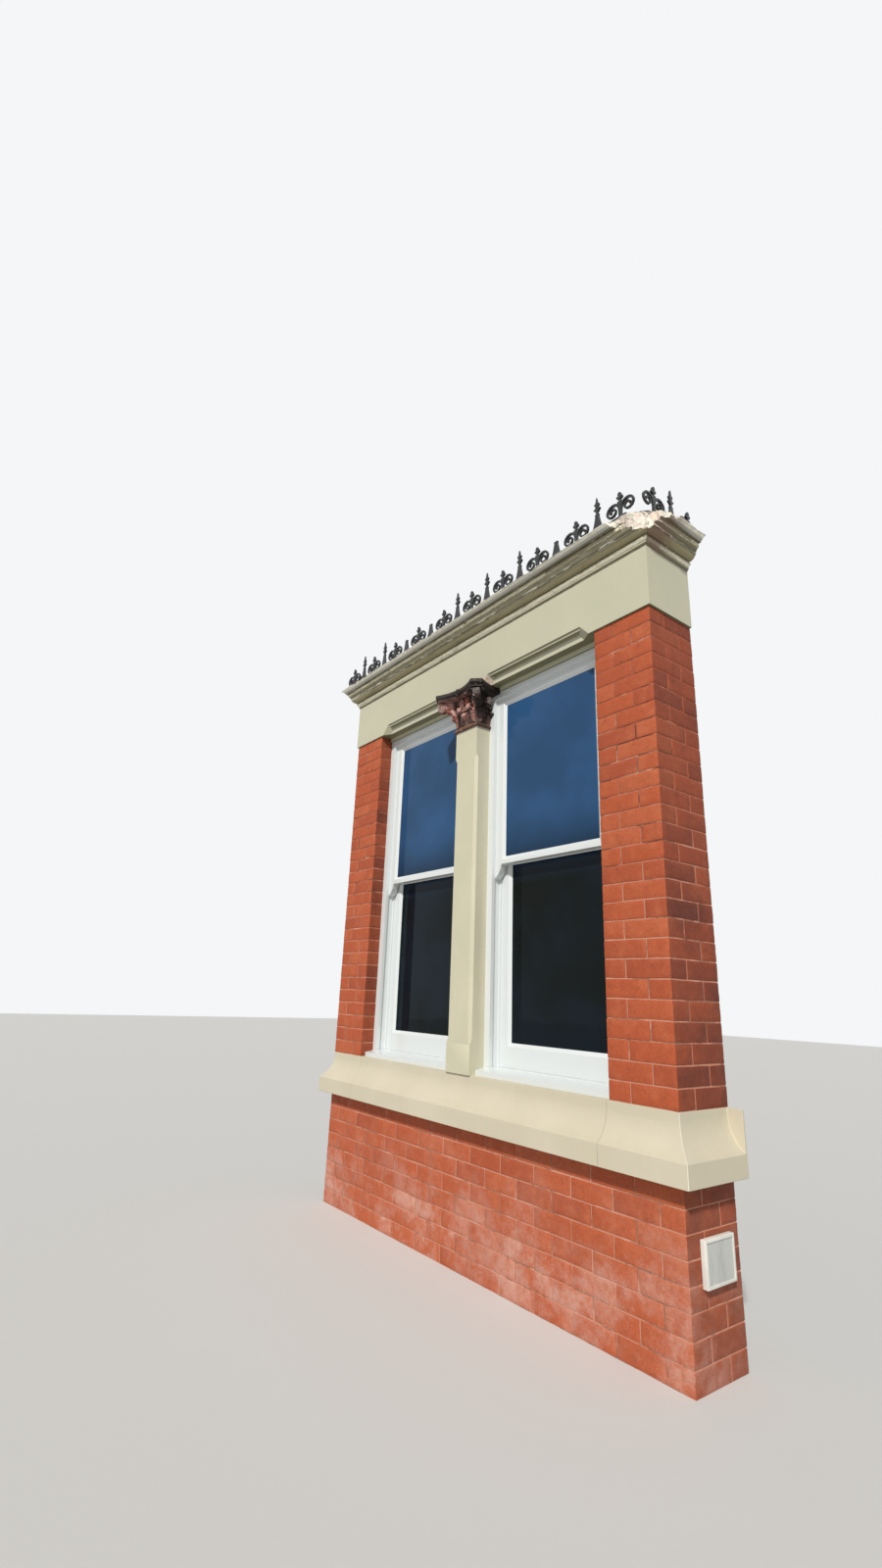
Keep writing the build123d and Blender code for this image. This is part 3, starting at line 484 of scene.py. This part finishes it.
# boards that run along X
def makeBoards(name, light, dark):
    look = {"board": 0.14, "seam": "1E1712"}
    f = Finish(name)
    grain = f.grain(1.6, 6, 0.6, f.stretched(2.2, 30, 30), 1.4)
    colour = f.mix(grain.between(0.36, 0.66), paint(light), paint(dark))
    edge = f.node("ShaderNodeMath", {"operation": "PINGPONG"}, {0: f.axis("Y"), 1: look["board"] / 2})
    seam = 1 - edge.between(0.0008, 0.0028)
    colour = f.mix(seam * 0.85, colour, paint(look["seam"]))
    return f.close(colour, 0.6 + grain * 0.15, f.bump(grain * 0.4 - seam, 0.002))


def makePlaster(name, light, dark, depth):
    f = Finish(name)
    patch = f.grain(4, 5, 0.6)
    colour = f.mix(patch.between(0.4, 0.68), paint(light), paint(dark))
    return f.close(colour, 0.85, f.bump(patch + f.grain(60, 5, 0.65), depth))


def makeCover(name, light, dark, speck):
    f = Finish(name)
    dirt = f.grain(12, 6, 0.68, f.stretched(1, 1, 0.35), 0.4).between(0.45, 0.72)
    colour = f.mix(dirt * 0.6, paint(light), paint(dark))
    colour = f.mix(f.grain(140, 4, 0.6).between(0.6, 0.75) * 0.35, colour, paint(speck))
    return f.close(colour, 0.5, f.bump(f.grain(220, 3, 0.6), 0.0005))


finish = {
    "brick": makeBrick(),
    "mortar": makeMortar(),
    "cream": makeCream("creamPaint", creamLooks["shaft"]),
    "friezeCream": makeCream("friezePaint", creamLooks["frieze"]),
    "sillCream": makeCream("sillPaint", creamLooks["sill"]),
    "corniceCream": makeCorniceCream(),
    "rawStone": makeRawStone(),
    "carved": makeCarved(),
    "gloss": makeGloss(),
    "pane": makePane(),
    "iron": makeIron(),
    "lead": makeLead(),
    "roofBoard": makeBoards("roofBoarding", "8D6B4B", "6A4A31"),
    "floorBoard": makeBoards("floorBoarding", "B0824F", "7E5530"),
    "plaster": makePlaster("wallPlaster", "E4E1DA", "D6D2C8", 0.0008),
    "rubble": makePlaster("rubbleFill", "8C857A", "6A645B", 0.006),
    "coverRim": makeCover("coverRim", "E2E1DA", "B8B5A8", "6E6A60"),
    "coverPanel": makeCover("coverPanel", "C4C6C2", "9C9D98", "6E6A60"),
}
print("finishes ready:", len(finish))


# making and keeping pieces

def clearSelection():
    if bpy.context.object and bpy.context.object.mode != "OBJECT":
        bpy.ops.object.mode_set(mode="OBJECT")
    bpy.ops.object.select_all(action="DESELECT")


def pick(*pieces):
    clearSelection()
    for piece in pieces:
        piece.select_set(True)
    bpy.context.view_layer.objects.active = pieces[0]


def coat(piece, *materials):
    piece.data.materials.clear()
    for material in materials:
        piece.data.materials.append(material)


def settle(piece):
    pick(piece)
    bpy.ops.object.transform_apply(location=True, rotation=True, scale=True)


def modify(piece, kind, **settings):
    pick(piece)
    modifier = piece.modifiers.new(kind.lower(), kind)
    for key, value in settings.items():
        setattr(modifier, key, value)
    bpy.ops.object.modifier_apply(modifier=modifier.name)


def smooth(piece, angle=34):
    pick(piece)
    bpy.ops.object.shade_smooth_by_angle(angle=math.radians(angle))


# a copy with a mesh of its own
def ownCopy(model):
    copy = model.copy()
    copy.data = model.data.copy()
    bpy.context.scene.collection.objects.link(copy)
    return copy


def joined(pieces, name):
    pick(*pieces)
    bpy.ops.object.join()
    whole = bpy.context.object
    whole.name = name
    whole.data.name = name
    return whole


def keep(piece, slot, *nodes):
    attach(piece, "root")
    if nodes:
        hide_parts(*nodes)
    return piece


# a node's own mesh as a new piece, its facets joined again
def plainCopy(node, name, pierced=False):
    flat = math.radians(0.6)
    piece = ownCopy(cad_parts[node])
    piece.parent = None
    piece.name = name
    piece.data.name = name
    piece.matrix_world = Matrix.Identity(4)
    pick(piece)
    bpy.ops.object.mode_set(mode="EDIT")
    bpy.ops.mesh.select_all(action="SELECT")
    bpy.ops.mesh.remove_doubles(threshold=0.00002)
    if pierced:
        bpy.ops.mesh.tris_convert_to_quads(face_threshold=flat, shape_threshold=math.radians(179))
    else:
        bpy.ops.mesh.dissolve_limited(angle_limit=flat)
    bpy.ops.object.mode_set(mode="OBJECT")
    return piece


# the same with its sharp edges eased
def eased(node, width, material, slot, segments=2, limit=28, pierced=False):
    piece = plainCopy(node, "eased_" + node, pierced)
    modify(piece, "BEVEL", width=width, segments=segments, limit_method="ANGLE",
           angle_limit=math.radians(limit), use_clamp_overlap=True, miter_outer="MITER_ARC")
    smooth(piece)
    modify(piece, "WEIGHTED_NORMAL", keep_sharp=True, weight=60)
    coat(piece, finish[material])
    return keep(piece, slot, node)


# brickwork, one real brick after another in stretcher bond

bond = {
    "plinthCourses": 8,
    "pierCourses": 27,
    "ease": 0.0022,            # width of a worn arris
    "cuts": 3,
    "lean": 0.0007,            # how far a brick is out of line
    "wander": 0.0011,          # how uneven its faces are
    "bumps": 42,
    "recess": 0.0019,          # depth of the joints
}


# one stretcher, its arrises eased
def modelBrick():
    joint = bay["joint"]
    clearSelection()
    bpy.ops.mesh.primitive_cube_add(size=1)
    brick = bpy.context.object
    brick.scale = (2 * bay["header"] - joint, bay["header"] - joint, bay["course"] - joint)
    settle(brick)
    bpy.ops.object.mode_set(mode="EDIT")
    bpy.ops.mesh.select_all(action="SELECT")
    bpy.ops.mesh.bevel(offset=bond["ease"], segments=2, affect="EDGES")
    bpy.ops.mesh.select_all(action="SELECT")
    bpy.ops.mesh.subdivide(number_cuts=bond["cuts"])
    bpy.ops.object.mode_set(mode="OBJECT")
    coat(brick, finish["brick"])
    return brick


# the model cut or lengthened to its place, its arrises kept as they are
def layBrick(model, low, high, tone):
    brick = ownCopy(model)
    halves = [d / 2 for d in model.dimensions]
    middle = [(a + b) / 2 for a, b in zip(low, high)]
    reach = [(b - a) / 2 for a, b in zip(low, high)]
    flat = [(r - bond["ease"]) / (h - bond["ease"]) for r, h in zip(reach, halves)]
    for v in brick.data.vertices:
        for k in range(3):
            c = v.co[k]
            inside = abs(c) <= halves[k] - bond["ease"]
            away = math.copysign(abs(c) - halves[k] + reach[k], c)
            v.co[k] = middle[k] + (c * flat[k] if inside else away)
    own = brick.data.attributes.new("tone", "FLOAT", "FACE")
    own.data.foreach_set("value", [tone] * len(brick.data.polygons))
    return brick


def layBricks(name, spots, model):
    bricks = []
    for low, high in spots:
        tone = random.random()
        lean = [random.uniform(-1, 1) * bond["lean"] for k in range(6)]
        bricks.append(layBrick(model, [a + b for a, b in zip(low, lean[:3])],
                               [a + b for a, b in zip(high, lean[3:])], tone))
    wall = joined(bricks, name)
    for v in wall.data.vertices:
        v.co += noise.noise_vector(v.co * bond["bumps"]) * bond["wander"]
    smooth(wall, 40)
    return keep(wall, "brick")


# outer leaf of one course on the right, from its inner end round the corner to its back end,
# as the lowest and highest corner of each brick: the corner brick turns with the course
def courseSpots(inner, foot, turned):
    little = 0.01              # shorter than any brick
    gap = bay["joint"] / 2
    header, stretcher = bay["header"], 2 * bay["header"]
    front, outer = -bay["depth"], bay["halfWidth"]
    low, high = foot + gap, foot + bay["course"] - gap
    spots = []
    # along the front, from the corner inward
    start = outer
    while start > inner + little:
        atCorner = start == outer
        length = min(header if turned and atCorner else stretcher, start - inner)
        end = start if atCorner else start - gap
        back = front + (stretcher if turned and atCorner else header) - gap
        spots.append(((start - length + gap, front, low), (end, back, high)))
        start -= length
    # along the return, where another brick stands beside the last one
    start = front + (stretcher if turned else header)
    while start < -little:
        length = min(stretcher, -start)
        atBack = start + length > -little
        end = start + length if atBack else start + length - gap
        spots.append(((outer - header + gap, start + gap, low), (outer, end, high)))
        if atBack:
            spots.append(((outer - stretcher, start + gap, low), (outer - header - gap, 0, high)))
        start += length
    return spots


def mirrored(spots):
    return [((-high[0], low[1], low[2]), (-low[0], high[1], high[2])) for low, high in spots]


# the solid behind the bricks, a little smaller, as mortar, with plaster on its room side
def core(node, name):
    piece = plainCopy(node, name)
    for v in piece.data.vertices:
        if near(abs(v.co.x), bay["halfWidth"]):
            v.co.x -= math.copysign(bond["recess"], v.co.x)
        if near(v.co.y, -bay["depth"]):
            v.co.y += bond["recess"]
        if node.startswith("pier") and near(abs(v.co.x), bay["jamb"]):
            v.co.x += math.copysign(bond["recess"], v.co.x)
        if near(v.co.y, 0):
            v.co.y -= bond["recess"]
    coat(piece, finish["mortar"], finish["plaster"])
    inner = bay["halfWidth"] - 2 * bay["header"] - bay["plaster"]
    for face in piece.data.polygons:
        c, n = face.center, face.normal
        side = near(abs(c.x), inner, 0.002) and n.x * c.x < 0
        back = n.y > 0.9 and c.y < -0.01 and abs(c.x) < inner + 0.02
        face.material_index = 1 if side or back else 0
    return keep(piece, "brick", node)


def buildBrickwork():
    header = bay["header"]
    plinth = []
    for course in range(bond["plinthCourses"]):
        plinth += courseSpots(0, course * bay["course"], course % 2 == 0)
    pier = []
    for course in range(bond["pierCourses"]):
        for low, high in courseSpots(bay["jamb"], bay["sillTop"] + course * bay["course"], course % 2 == 1):
            # bricks at the opening stop at the window box
            if near(low[0], bay["jamb"], bay["joint"]) and near(low[1], -bay["depth"]):
                low = (bay["jamb"], low[1], low[2])
                high = (high[0], min(high[1], bay["reveal"] - bay["depth"]), high[2])
            pier.append((low, high))
    # one whole brick across the middle in every other course, so that no joint runs straight up
    halves = [(low, high) for low, high in plinth if low[0] < header / 2 and high[0] < header]
    across = [((bay["joint"] / 2 - header, low[1], low[2]), high) for low, high in halves]
    others = [spot for spot in plinth if spot not in halves]
    model = modelBrick()
    layBricks("bricksPierRight", pier, model)
    layBricks("bricksPierLeft", mirrored(pier), model)
    layBricks("bricksPlinthRight", others + across, model)
    layBricks("bricksPlinthLeft", mirrored(others), model)
    bpy.data.objects.remove(model)
    for node in ("pier_right", "pier_left", "plinth_front", "plinth_right", "plinth_left"):
        core(node, "mortar_" + node)


buildBrickwork()
print("brickwork laid")


# cornice, with worn arrises and the split corner

wear = {
    "splitFront": 0.285,       # reach of the split along the front
    "splitSide": 0.2645,       # and along the return
    "splitFoot": 3.5,
    "rough": 0.006,            # how rough the break is
    "cuts": 5,
    "edge": 0.0018,
    "step": 0.0125,            # length of the stretches that wear on their own
    "soften": 0.0016,
    "chip": 0.024,
    "bedTop": 3.52,            # the mouldings below this have few chips
    "bedChip": 0.12,
}


def inSplit(c):
    return (c.x > cornice["side"] - wear["splitFront"] and c.y < cornice["front"] + wear["splitSide"]
            and c.z > wear["splitFoot"])


def onMitre(c, reach):
    return near(abs(c.x) - bay["halfWidth"], -c.y - bay["depth"], reach)


# wear and breaks never stand out past the moulding
def holdInside(v):
    v.co.x = max(-cornice["side"], min(cornice["side"], v.co.x))
    v.co.y = max(v.co.y, cornice["front"])
    v.co.z = min(v.co.z, cornice["top"])


# broken faces lean away from the run of the moulding
def roughenSplit(bm, axis):
    flags = bm.faces.layers.int.new("split")
    broken = [face for face in bm.faces
              if inSplit(face.calc_center_median()) and abs(face.normal[axis]) > 0.03
              and face.normal.z < 0.95 and not all(onMitre(v.co, 0.0004) for v in face.verts)]
    for face in broken:
        face[flags] = 1
    if not broken:
        return
    bm.edges.index_update()
    rim = sorted({edge for face in broken for edge in face.edges}, key=lambda edge: edge.index)
    bmesh.ops.subdivide_edges(bm, edges=rim, cuts=wear["cuts"], use_grid_fill=True)
    for v in {v for face in bm.faces if face[flags] for v in face.verts}:
        push = noise.noise_vector(v.co * 35) + noise.noise_vector(v.co * 90) * 0.6
        v.co += push * wear["rough"]
        holdInside(v)


# cuts across the run, so that each stretch can wear on its own
def cutRun(bm, axis, start, end):
    way = Vector((0, 0, 0))
    way[axis] = 1
    count = int((end - start) / wear["step"])
    for k in range(1, count):
        bmesh.ops.bisect_plane(bm, geom=bm.verts[:] + bm.edges[:] + bm.faces[:], dist=0.0004,
                               plane_co=way * (start + (end - start) * k / count), plane_no=way)


def wearArrises(bm, axis, start):
    sharp = 0.7                # radians that the faces at an arris turn in all
    moves = []
    bm.normal_update()
    for v in bm.verts:
        turn = sum(max(0.0, edge.calc_face_angle_signed(0.0)) for edge in v.link_edges)
        bedded = near(v.co.y, 0, 0.002) or (axis == 0 and v.co.y > -0.2) or near(v.co[axis], start, 0.002)
        if turn < sharp or bedded or onMitre(v.co, 0.003):
            continue
        long = Vector((v.co.x * 16, v.co.y * 16, v.co.z * 30))
        chip = max(0.0, noise.noise(long) - 0.12) + max(0.0, noise.noise(long * 3.1) - 0.3) * 0.6
        chip *= min(1.0, max(wear["bedChip"], (v.co.z - wear["bedTop"]) * 80))
        soft = wear["soften"] * (0.5 + noise.noise(v.co * 60))
        moves.append((v, -v.normal * (soft + chip * wear["chip"])))
    for v, move in moves:
        v.co += move
        holdInside(v)


def wornCornice(node, axis):
    piece = plainCopy(node, node + "_worn")
    modify(piece, "BEVEL", width=wear["edge"], segments=1, limit_method="ANGLE",
           angle_limit=math.radians(24), use_clamp_overlap=True)
    bm = bmesh.new()
    bm.from_mesh(piece.data)
    roughenSplit(bm, axis)
    start, end = min(v.co[axis] for v in bm.verts), max(v.co[axis] for v in bm.verts)
    cutRun(bm, axis, start, end)
    wearArrises(bm, axis, start)
    bm.to_mesh(piece.data)
    bm.free()
    smooth(piece, 38)
    coat(piece, finish["corniceCream"], finish["rawStone"])
    broken = piece.data.attributes["split"].data
    for k, face in enumerate(piece.data.polygons):
        face.material_index = broken[k].value
    return keep(piece, "painted_stone", node)


wornCornice("cornice_front", 0)
wornCornice("cornice_right", 1)
wornCornice("cornice_left", 1)
print("cornice worn")


# stone, timber and iron that keep the CAD shape, with the width of their eased edges

def easeEdges():
    stones = {
        "sill_front": (0.003, "sillCream"), "sill_left": (0.003, "sillCream"),
        "sill_right": (0.003, "sillCream"), "mullion_shaft": (0.002, "cream"),
        "lintel_left": (0.0018, "friezeCream"), "lintel_right": (0.0018, "friezeCream"),
        "frieze_left": (0.0025, "friezeCream"), "frieze_right": (0.0025, "friezeCream"),
    }
    widths = {"window": 0.0015, "board": 0.003, "iron": 0.0022}
    for node, (width, material) in stones.items():
        eased(node, width, material, "painted_stone")
    for side in ("left", "right"):
        for part in ("window_box_", "timber_sill_", "sash_upper_", "sash_lower_"):
            eased(part + side, widths["window"], "gloss", "white_timber", pierced=True)
    for node in ("window_board", "apron"):
        eased(node, widths["board"], "gloss", "white_timber", pierced=True)
    for part in ("left", "right", "front_a", "front_b", "front_c"):
        eased("cresting_" + part, widths["iron"], "iron", "black_iron", limit=40)


easeEdges()
print("edges eased")


# leaves and scrolls of the capital, carved finer than the solid behind them

carving = {
    # leaves: footOut and headOut are set off from the bell, foot and head up from its foot
    "low": {"footOut": -0.004, "headOut": 0.010, "foot": 0.0, "head": 0.070, "width": 0.066,
            "curl": 0.022},
    "mid": {"footOut": -0.006, "headOut": 0.008, "foot": 0.010, "head": 0.122, "width": 0.056,
            "curl": 0.028},
    "cornerLow": {"footOut": -0.008, "headOut": 0.006, "foot": 0.0, "head": 0.078, "width": 0.080,
                  "curl": 0.026},
    "cornerHigh": {"footOut": -0.006, "headOut": 0.034, "foot": 0.024, "head": 0.136, "width": 0.062,
                   "curl": 0.032},
    "midApart": 0.044,
    "rib": 0.0045,
    "ribWidth": 0.17,                         # as a share of half the leaf
    "vein": 0.0030,
    "veins": 4,
    "cup": 0.006,
    "leafThick": 0.005,
    # width of a leaf up its length, as shares
    "lobes": ((0, 0.62), (0.2, 0.9), (0.27, 0.66), (0.45, 1.04), (0.52, 0.76), (0.68, 0.94),
              (0.74, 0.66), (0.86, 0.7), (1.001, 0.2)),
    # scrolls: their places are out from the axis, aside, and down from the head
    "small": {"radius": 0.024, "turns": 1.8, "thick": 0.0036},
    "large": {"radius": 0.033, "turns": 2.1, "thick": 0.0046},
    "smallPlace": (0.128, 0.027, 0.027),
    "largePlace": (0.236, 0.0195, 0.033),
}


# smooth line through the points of a spine, t from 0 to 1
def alongSpine(spine, t):
    last = len(spine) - 1
    spot = min(t, 0.9999) * last
    k = int(spot)
    s = spot - k
    before, a, b, after = (Vector(spine[max(0, min(last, k + i))]) for i in (-1, 0, 1, 2))
    return 0.5 * (2 * a + (b - before) * s + (2 * before - 5 * a + 4 * b - after) * s ** 2
                  + (3 * a - before - 3 * b + after) * s ** 3)


def halfLeaf(width, t):
    lobes = carving["lobes"]
    k = max(i for i in range(len(lobes) - 1) if lobes[i][0] <= t)
    (t0, w0), (t1, w1) = lobes[k], lobes[k + 1]
    return width / 2 * (w0 + (w1 - w0) * (t - t0) / (t1 - t0))


# a leaf that grows up the bell, bell being its half width there, and curls over at the tip
def carveLeaf(bell, footOut, headOut, foot, head, width, curl):
    clearSelection()
    bpy.ops.mesh.primitive_grid_add(x_subdivisions=18, y_subdivisions=34, size=2)
    leaf = bpy.context.object
    inner, outer = bell + footOut, bell + headOut
    low, high = capital["foot"] + foot, capital["foot"] + head
    rise = high - low
    spine = [(inner + 0.011, low), (inner + 0.015, low + 0.36 * rise), (outer + 0.012, low + 0.72 * rise),
             (outer + 0.6 * curl, low + 0.98 * rise), (outer + curl + 0.003, low + 0.92 * rise),
             (outer + curl - 0.002, low + 0.76 * rise)]
    for v in leaf.data.vertices:
        u, t = v.co.x, (v.co.y + 1) / 2
        side = abs(u)
        spot = alongSpine(spine, t)
        rib = carving["rib"] * max(0.0, 1 - side / carving["ribWidth"])
        wave = abs(math.sin(math.pi * carving["veins"] * (t * 1.12 - 0.3 * side)))
        vein = carving["vein"] * wave * min(1.0, side * 2.2)
        v.co = (spot[0] + rib + vein - carving["cup"] * side ** 2, u * halfLeaf(width, t), spot[1])
    modify(leaf, "SOLIDIFY", thickness=carving["leafThick"], offset=-1.0)
    smooth(leaf, 42)
    return leaf


# a scroll's raised spiral with its eye, lying in the plane across its axis
def carveScroll(radius, turns, thick):
    count = 44
    clearSelection()
    line = bpy.data.curves.new("scroll", "CURVE")
    line.dimensions = "3D"
    line.bevel_depth = thick
    line.bevel_resolution = 2
    line.use_fill_caps = True
    spline = line.splines.new("POLY")
    spline.points.add(count - 1)
    for k, point in enumerate(spline.points):
        share = k / (count - 1)
        angle = math.tau * turns * share + math.pi / 2
        reach = radius * (0.86 - 0.66 * share)
        point.co = (reach * math.cos(angle), reach * math.sin(angle), 0.002 * share, 1)
        point.radius = 1.0 - 0.42 * share
    scroll = bpy.data.objects.new("scroll", line)
    bpy.context.scene.collection.objects.link(scroll)
    pick(scroll)
    bpy.ops.object.convert(target="MESH")
    scroll = bpy.context.object
    clearSelection()
    bpy.ops.mesh.primitive_uv_sphere_add(segments=12, ring_count=8, radius=radius * 0.2)
    eye = bpy.context.object
    eye.scale.z = 0.7
    settle(eye)
    scroll = joined([scroll, eye], "scroll")
    smooth(scroll, 60)
    return scroll


# a copy set upright and out from the mullion's axis, then turned round it by so many degrees
def placed(model, turn, shift=(0, 0, 0), upright=Matrix.Identity(4)):
    copy = ownCopy(model)
    middle = Matrix.Translation((0, capital["middle"], 0))
    spin = Matrix.Rotation(math.radians(turn), 4, "Z")
    copy.matrix_world = middle @ spin @ Matrix.Translation(shift) @ upright
    settle(copy)
    return copy


def buildCarving():
    corner = capital["bell"] * math.sqrt(2)
    models = {
        "low": carveLeaf(capital["bell"], **carving["low"]),
        "mid": carveLeaf(capital["bell"], **carving["mid"]),
        "cornerLow": carveLeaf(corner, **carving["cornerLow"]),
        "cornerHigh": carveLeaf(corner, **carving["cornerHigh"]),
        "small": carveScroll(**carving["small"]),
        "large": carveScroll(**carving["large"]),
    }
    # small scrolls face outward and large ones sideways, and the second of each pair is mirrored
    outward = Matrix.Rotation(math.radians(90), 4, "Y") @ Matrix.Rotation(math.radians(90), 4, "Z")
    flipped = outward @ Matrix.Scale(-1, 4, (1, 0, 0))
    sideways = Matrix.Rotation(math.radians(-90), 4, "X")
    otherSide = Matrix.Rotation(math.radians(90), 4, "X") @ Matrix.Scale(-1, 4, (0, 1, 0))
    pieces = []
    out, aside, down = carving["smallPlace"]
    high = capital["head"] - down
    for turn in (-90, 0, 180):
        pieces.append(placed(models["low"], turn))
        for shift in (-carving["midApart"], carving["midApart"]):
            pieces.append(placed(models["mid"], turn, (0, shift, 0)))
        pieces.append(placed(models["small"], turn, (out, aside, high), outward))
        pieces.append(placed(models["small"], turn, (out, -aside, high), flipped))
    out, aside, down = carving["largePlace"]
    high = capital["head"] - down
    for turn in (-135, -45):
        pieces.append(placed(models["cornerLow"], turn))
        pieces.append(placed(models["cornerHigh"], turn))
        pieces.append(placed(models["large"], turn, (out, aside, high), sideways))
        pieces.append(placed(models["large"], turn, (out, -aside, high), otherSide))
    for model in models.values():
        bpy.data.objects.remove(model)
    whole = joined(pieces, "capitalCarving")
    bpy.ops.object.mode_set(mode="EDIT")
    bpy.ops.mesh.select_all(action="SELECT")
    bpy.ops.mesh.bisect(plane_co=(0, capital["cut"], 0), plane_no=(0, 1, 0), clear_outer=True,
                        use_fill=True)
    bpy.ops.mesh.select_all(action="SELECT")
    bpy.ops.mesh.normals_make_consistent(inside=False)
    bpy.ops.object.mode_set(mode="OBJECT")
    coat(whole, finish["carved"])
    keep(whole, "carved_stone")


buildCarving()
eased("capital_neck", 0.002, "carved", "painted_stone")
eased("capital_bell", 0.0015, "carved", "carved_stone")
eased("capital_abacus", 0.002, "carved", "carved_stone")
print("capital carved")


# lead, and the cover plate with a thin rim round a sunk panel

def buildPlate():
    sheet = {"rim": 0.0075, "sink": 0.0035, "round": 0.0035, "fillet": 0.001}
    low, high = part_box("service_cover")
    clearSelection()
    bpy.ops.mesh.primitive_cube_add(size=1, location=(low + high) / 2)
    plate = bpy.context.object
    plate.name = "coverPlate"
    plate.scale = high - low
    settle(plate)
    modify(plate, "BEVEL", width=sheet["round"], segments=3, limit_method="ANGLE")
    pick(plate)
    bpy.ops.object.mode_set(mode="EDIT")
    bpy.ops.mesh.select_mode(type="FACE")
    bpy.ops.mesh.select_all(action="DESELECT")
    bpy.ops.object.mode_set(mode="OBJECT")
    front = max(plate.data.polygons, key=lambda face: face.normal.x * face.area)
    front.select = True
    bpy.ops.object.mode_set(mode="EDIT")
    bpy.ops.mesh.inset(thickness=sheet["rim"])
    bpy.ops.mesh.extrude_region_move(TRANSFORM_OT_translate={"value": (-sheet["sink"], 0, 0)})
    bpy.ops.mesh.inset(thickness=sheet["fillet"])
    bpy.ops.object.mode_set(mode="OBJECT")
    smooth(plate, 30)
    coat(plate, finish["coverRim"], finish["coverPanel"])
    for face in plate.data.polygons:
        if face.normal.x > 0.9 and face.center.x < high.x - sheet["sink"] / 2:
            face.material_index = 1
    keep(plate, "cover_metal", "service_cover")


eased("roof_lead", 0.003, "lead", "lead_sheet", segments=3)
buildPlate()
print("lead and cover plate ready")


# solids that stay as they are, with a better finish

plainNodes = {
    "glass_upper_left": "pane",
    "glass_upper_right": "pane",
    "glass_lower_left": "pane",
    "glass_lower_right": "pane",
    "roof_boards": "roofBoard",
    "floor_boards": "floorBoard",
    "ceiling": "plaster",
    "floor_slab": "rubble",
}
for node, material in plainNodes.items():
    coat(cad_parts[node], finish[material])
print("plain solids coated:", len(plainNodes))


# camera, light and floor

def placeCamera():
    shot = {"spot": (3.0754, -2.8242, 1.2979), "yaw": -53.3, "pitch": 17.3, "roll": 2.3, "focal": 695.6,
            "frameHigh": 1600, "sensorHigh": 24}
    yaw, pitch, roll = (math.radians(shot[k]) for k in ("yaw", "pitch", "roll"))
    ahead = Vector((math.sin(yaw) * math.cos(pitch), math.cos(yaw) * math.cos(pitch), math.sin(pitch)))
    right = Vector((math.cos(yaw), -math.sin(yaw), 0))
    up = right.cross(ahead)
    turnedRight = math.cos(roll) * right + math.sin(roll) * up
    turnedUp = -math.sin(roll) * right + math.cos(roll) * up
    lens = bpy.data.cameras.new("photoCamera")
    lens.sensor_fit = "VERTICAL"
    lens.sensor_height = shot["sensorHigh"]
    lens.lens = shot["focal"] / shot["frameHigh"] * shot["sensorHigh"]
    lens.clip_end = 200
    camera = bpy.data.objects.new("photoCamera", lens)
    bpy.context.scene.collection.objects.link(camera)
    turn = Matrix((turnedRight, turnedUp, -ahead)).transposed()
    camera.matrix_world = Matrix.Translation(shot["spot"]) @ turn.to_4x4()
    bpy.context.scene.camera = camera


def placeLight():
    light = {"sun": 3.4, "soft": 3.5, "sunColour": (1.0, 0.97, 0.93), "way": (-0.437, 0.615, -0.656),
             "sky": 0.25, "skyColour": (0.93, 0.96, 1.0, 1), "back": 0.95,
             "backColour": (0.96, 0.97, 0.98, 1)}
    sun = bpy.data.lights.new("softSun", "SUN")
    sun.energy = light["sun"]
    sun.angle = math.radians(light["soft"])
    sun.color = light["sunColour"]
    lamp = bpy.data.objects.new("softSun", sun)
    bpy.context.scene.collection.objects.link(lamp)
    lamp.rotation_euler = Vector(light["way"]).to_track_quat("-Z", "Y").to_euler()
    # a dim sky lights the scene, and a pale backdrop is what is seen and mirrored
    world = bpy.data.worlds.new("studio")
    bpy.context.scene.world = world
    sky = Nodes(world)
    seen, through, glossy = (sky.node("ShaderNodeLightPath", {}, {}, f"Is {kind} Ray")
                             for kind in ("Camera", "Transmission", "Glossy"))
    dim = sky.node("ShaderNodeBackground", {}, {"Color": light["skyColour"], "Strength": light["sky"]})
    pale = sky.node("ShaderNodeBackground", {}, {"Color": light["backColour"], "Strength": light["back"]})
    chosen = sky.node("ShaderNodeMixShader", {}, {0: seen.larger(through).larger(glossy), 1: dim, 2: pale})
    sky.node("ShaderNodeOutputWorld", {}, {"Surface": chosen})


def placeFloor():
    look = {"size": 60, "pale": "D0D0CE", "grey": "C5C5C3"}
    clearSelection()
    bpy.ops.mesh.primitive_plane_add(size=look["size"])
    floor = bpy.context.object
    floor.name = "studioFloor"
    f = Finish("studioFloor")
    speck = f.grain(40, 3, 0.5)
    coat(floor, f.close(f.mix(speck * 0.08, paint(look["pale"]), paint(look["grey"])), 0.85))


placeCamera()
placeLight()
placeFloor()
bpy.context.scene.view_settings.view_transform = "Standard"
print("camera, light and floor placed")
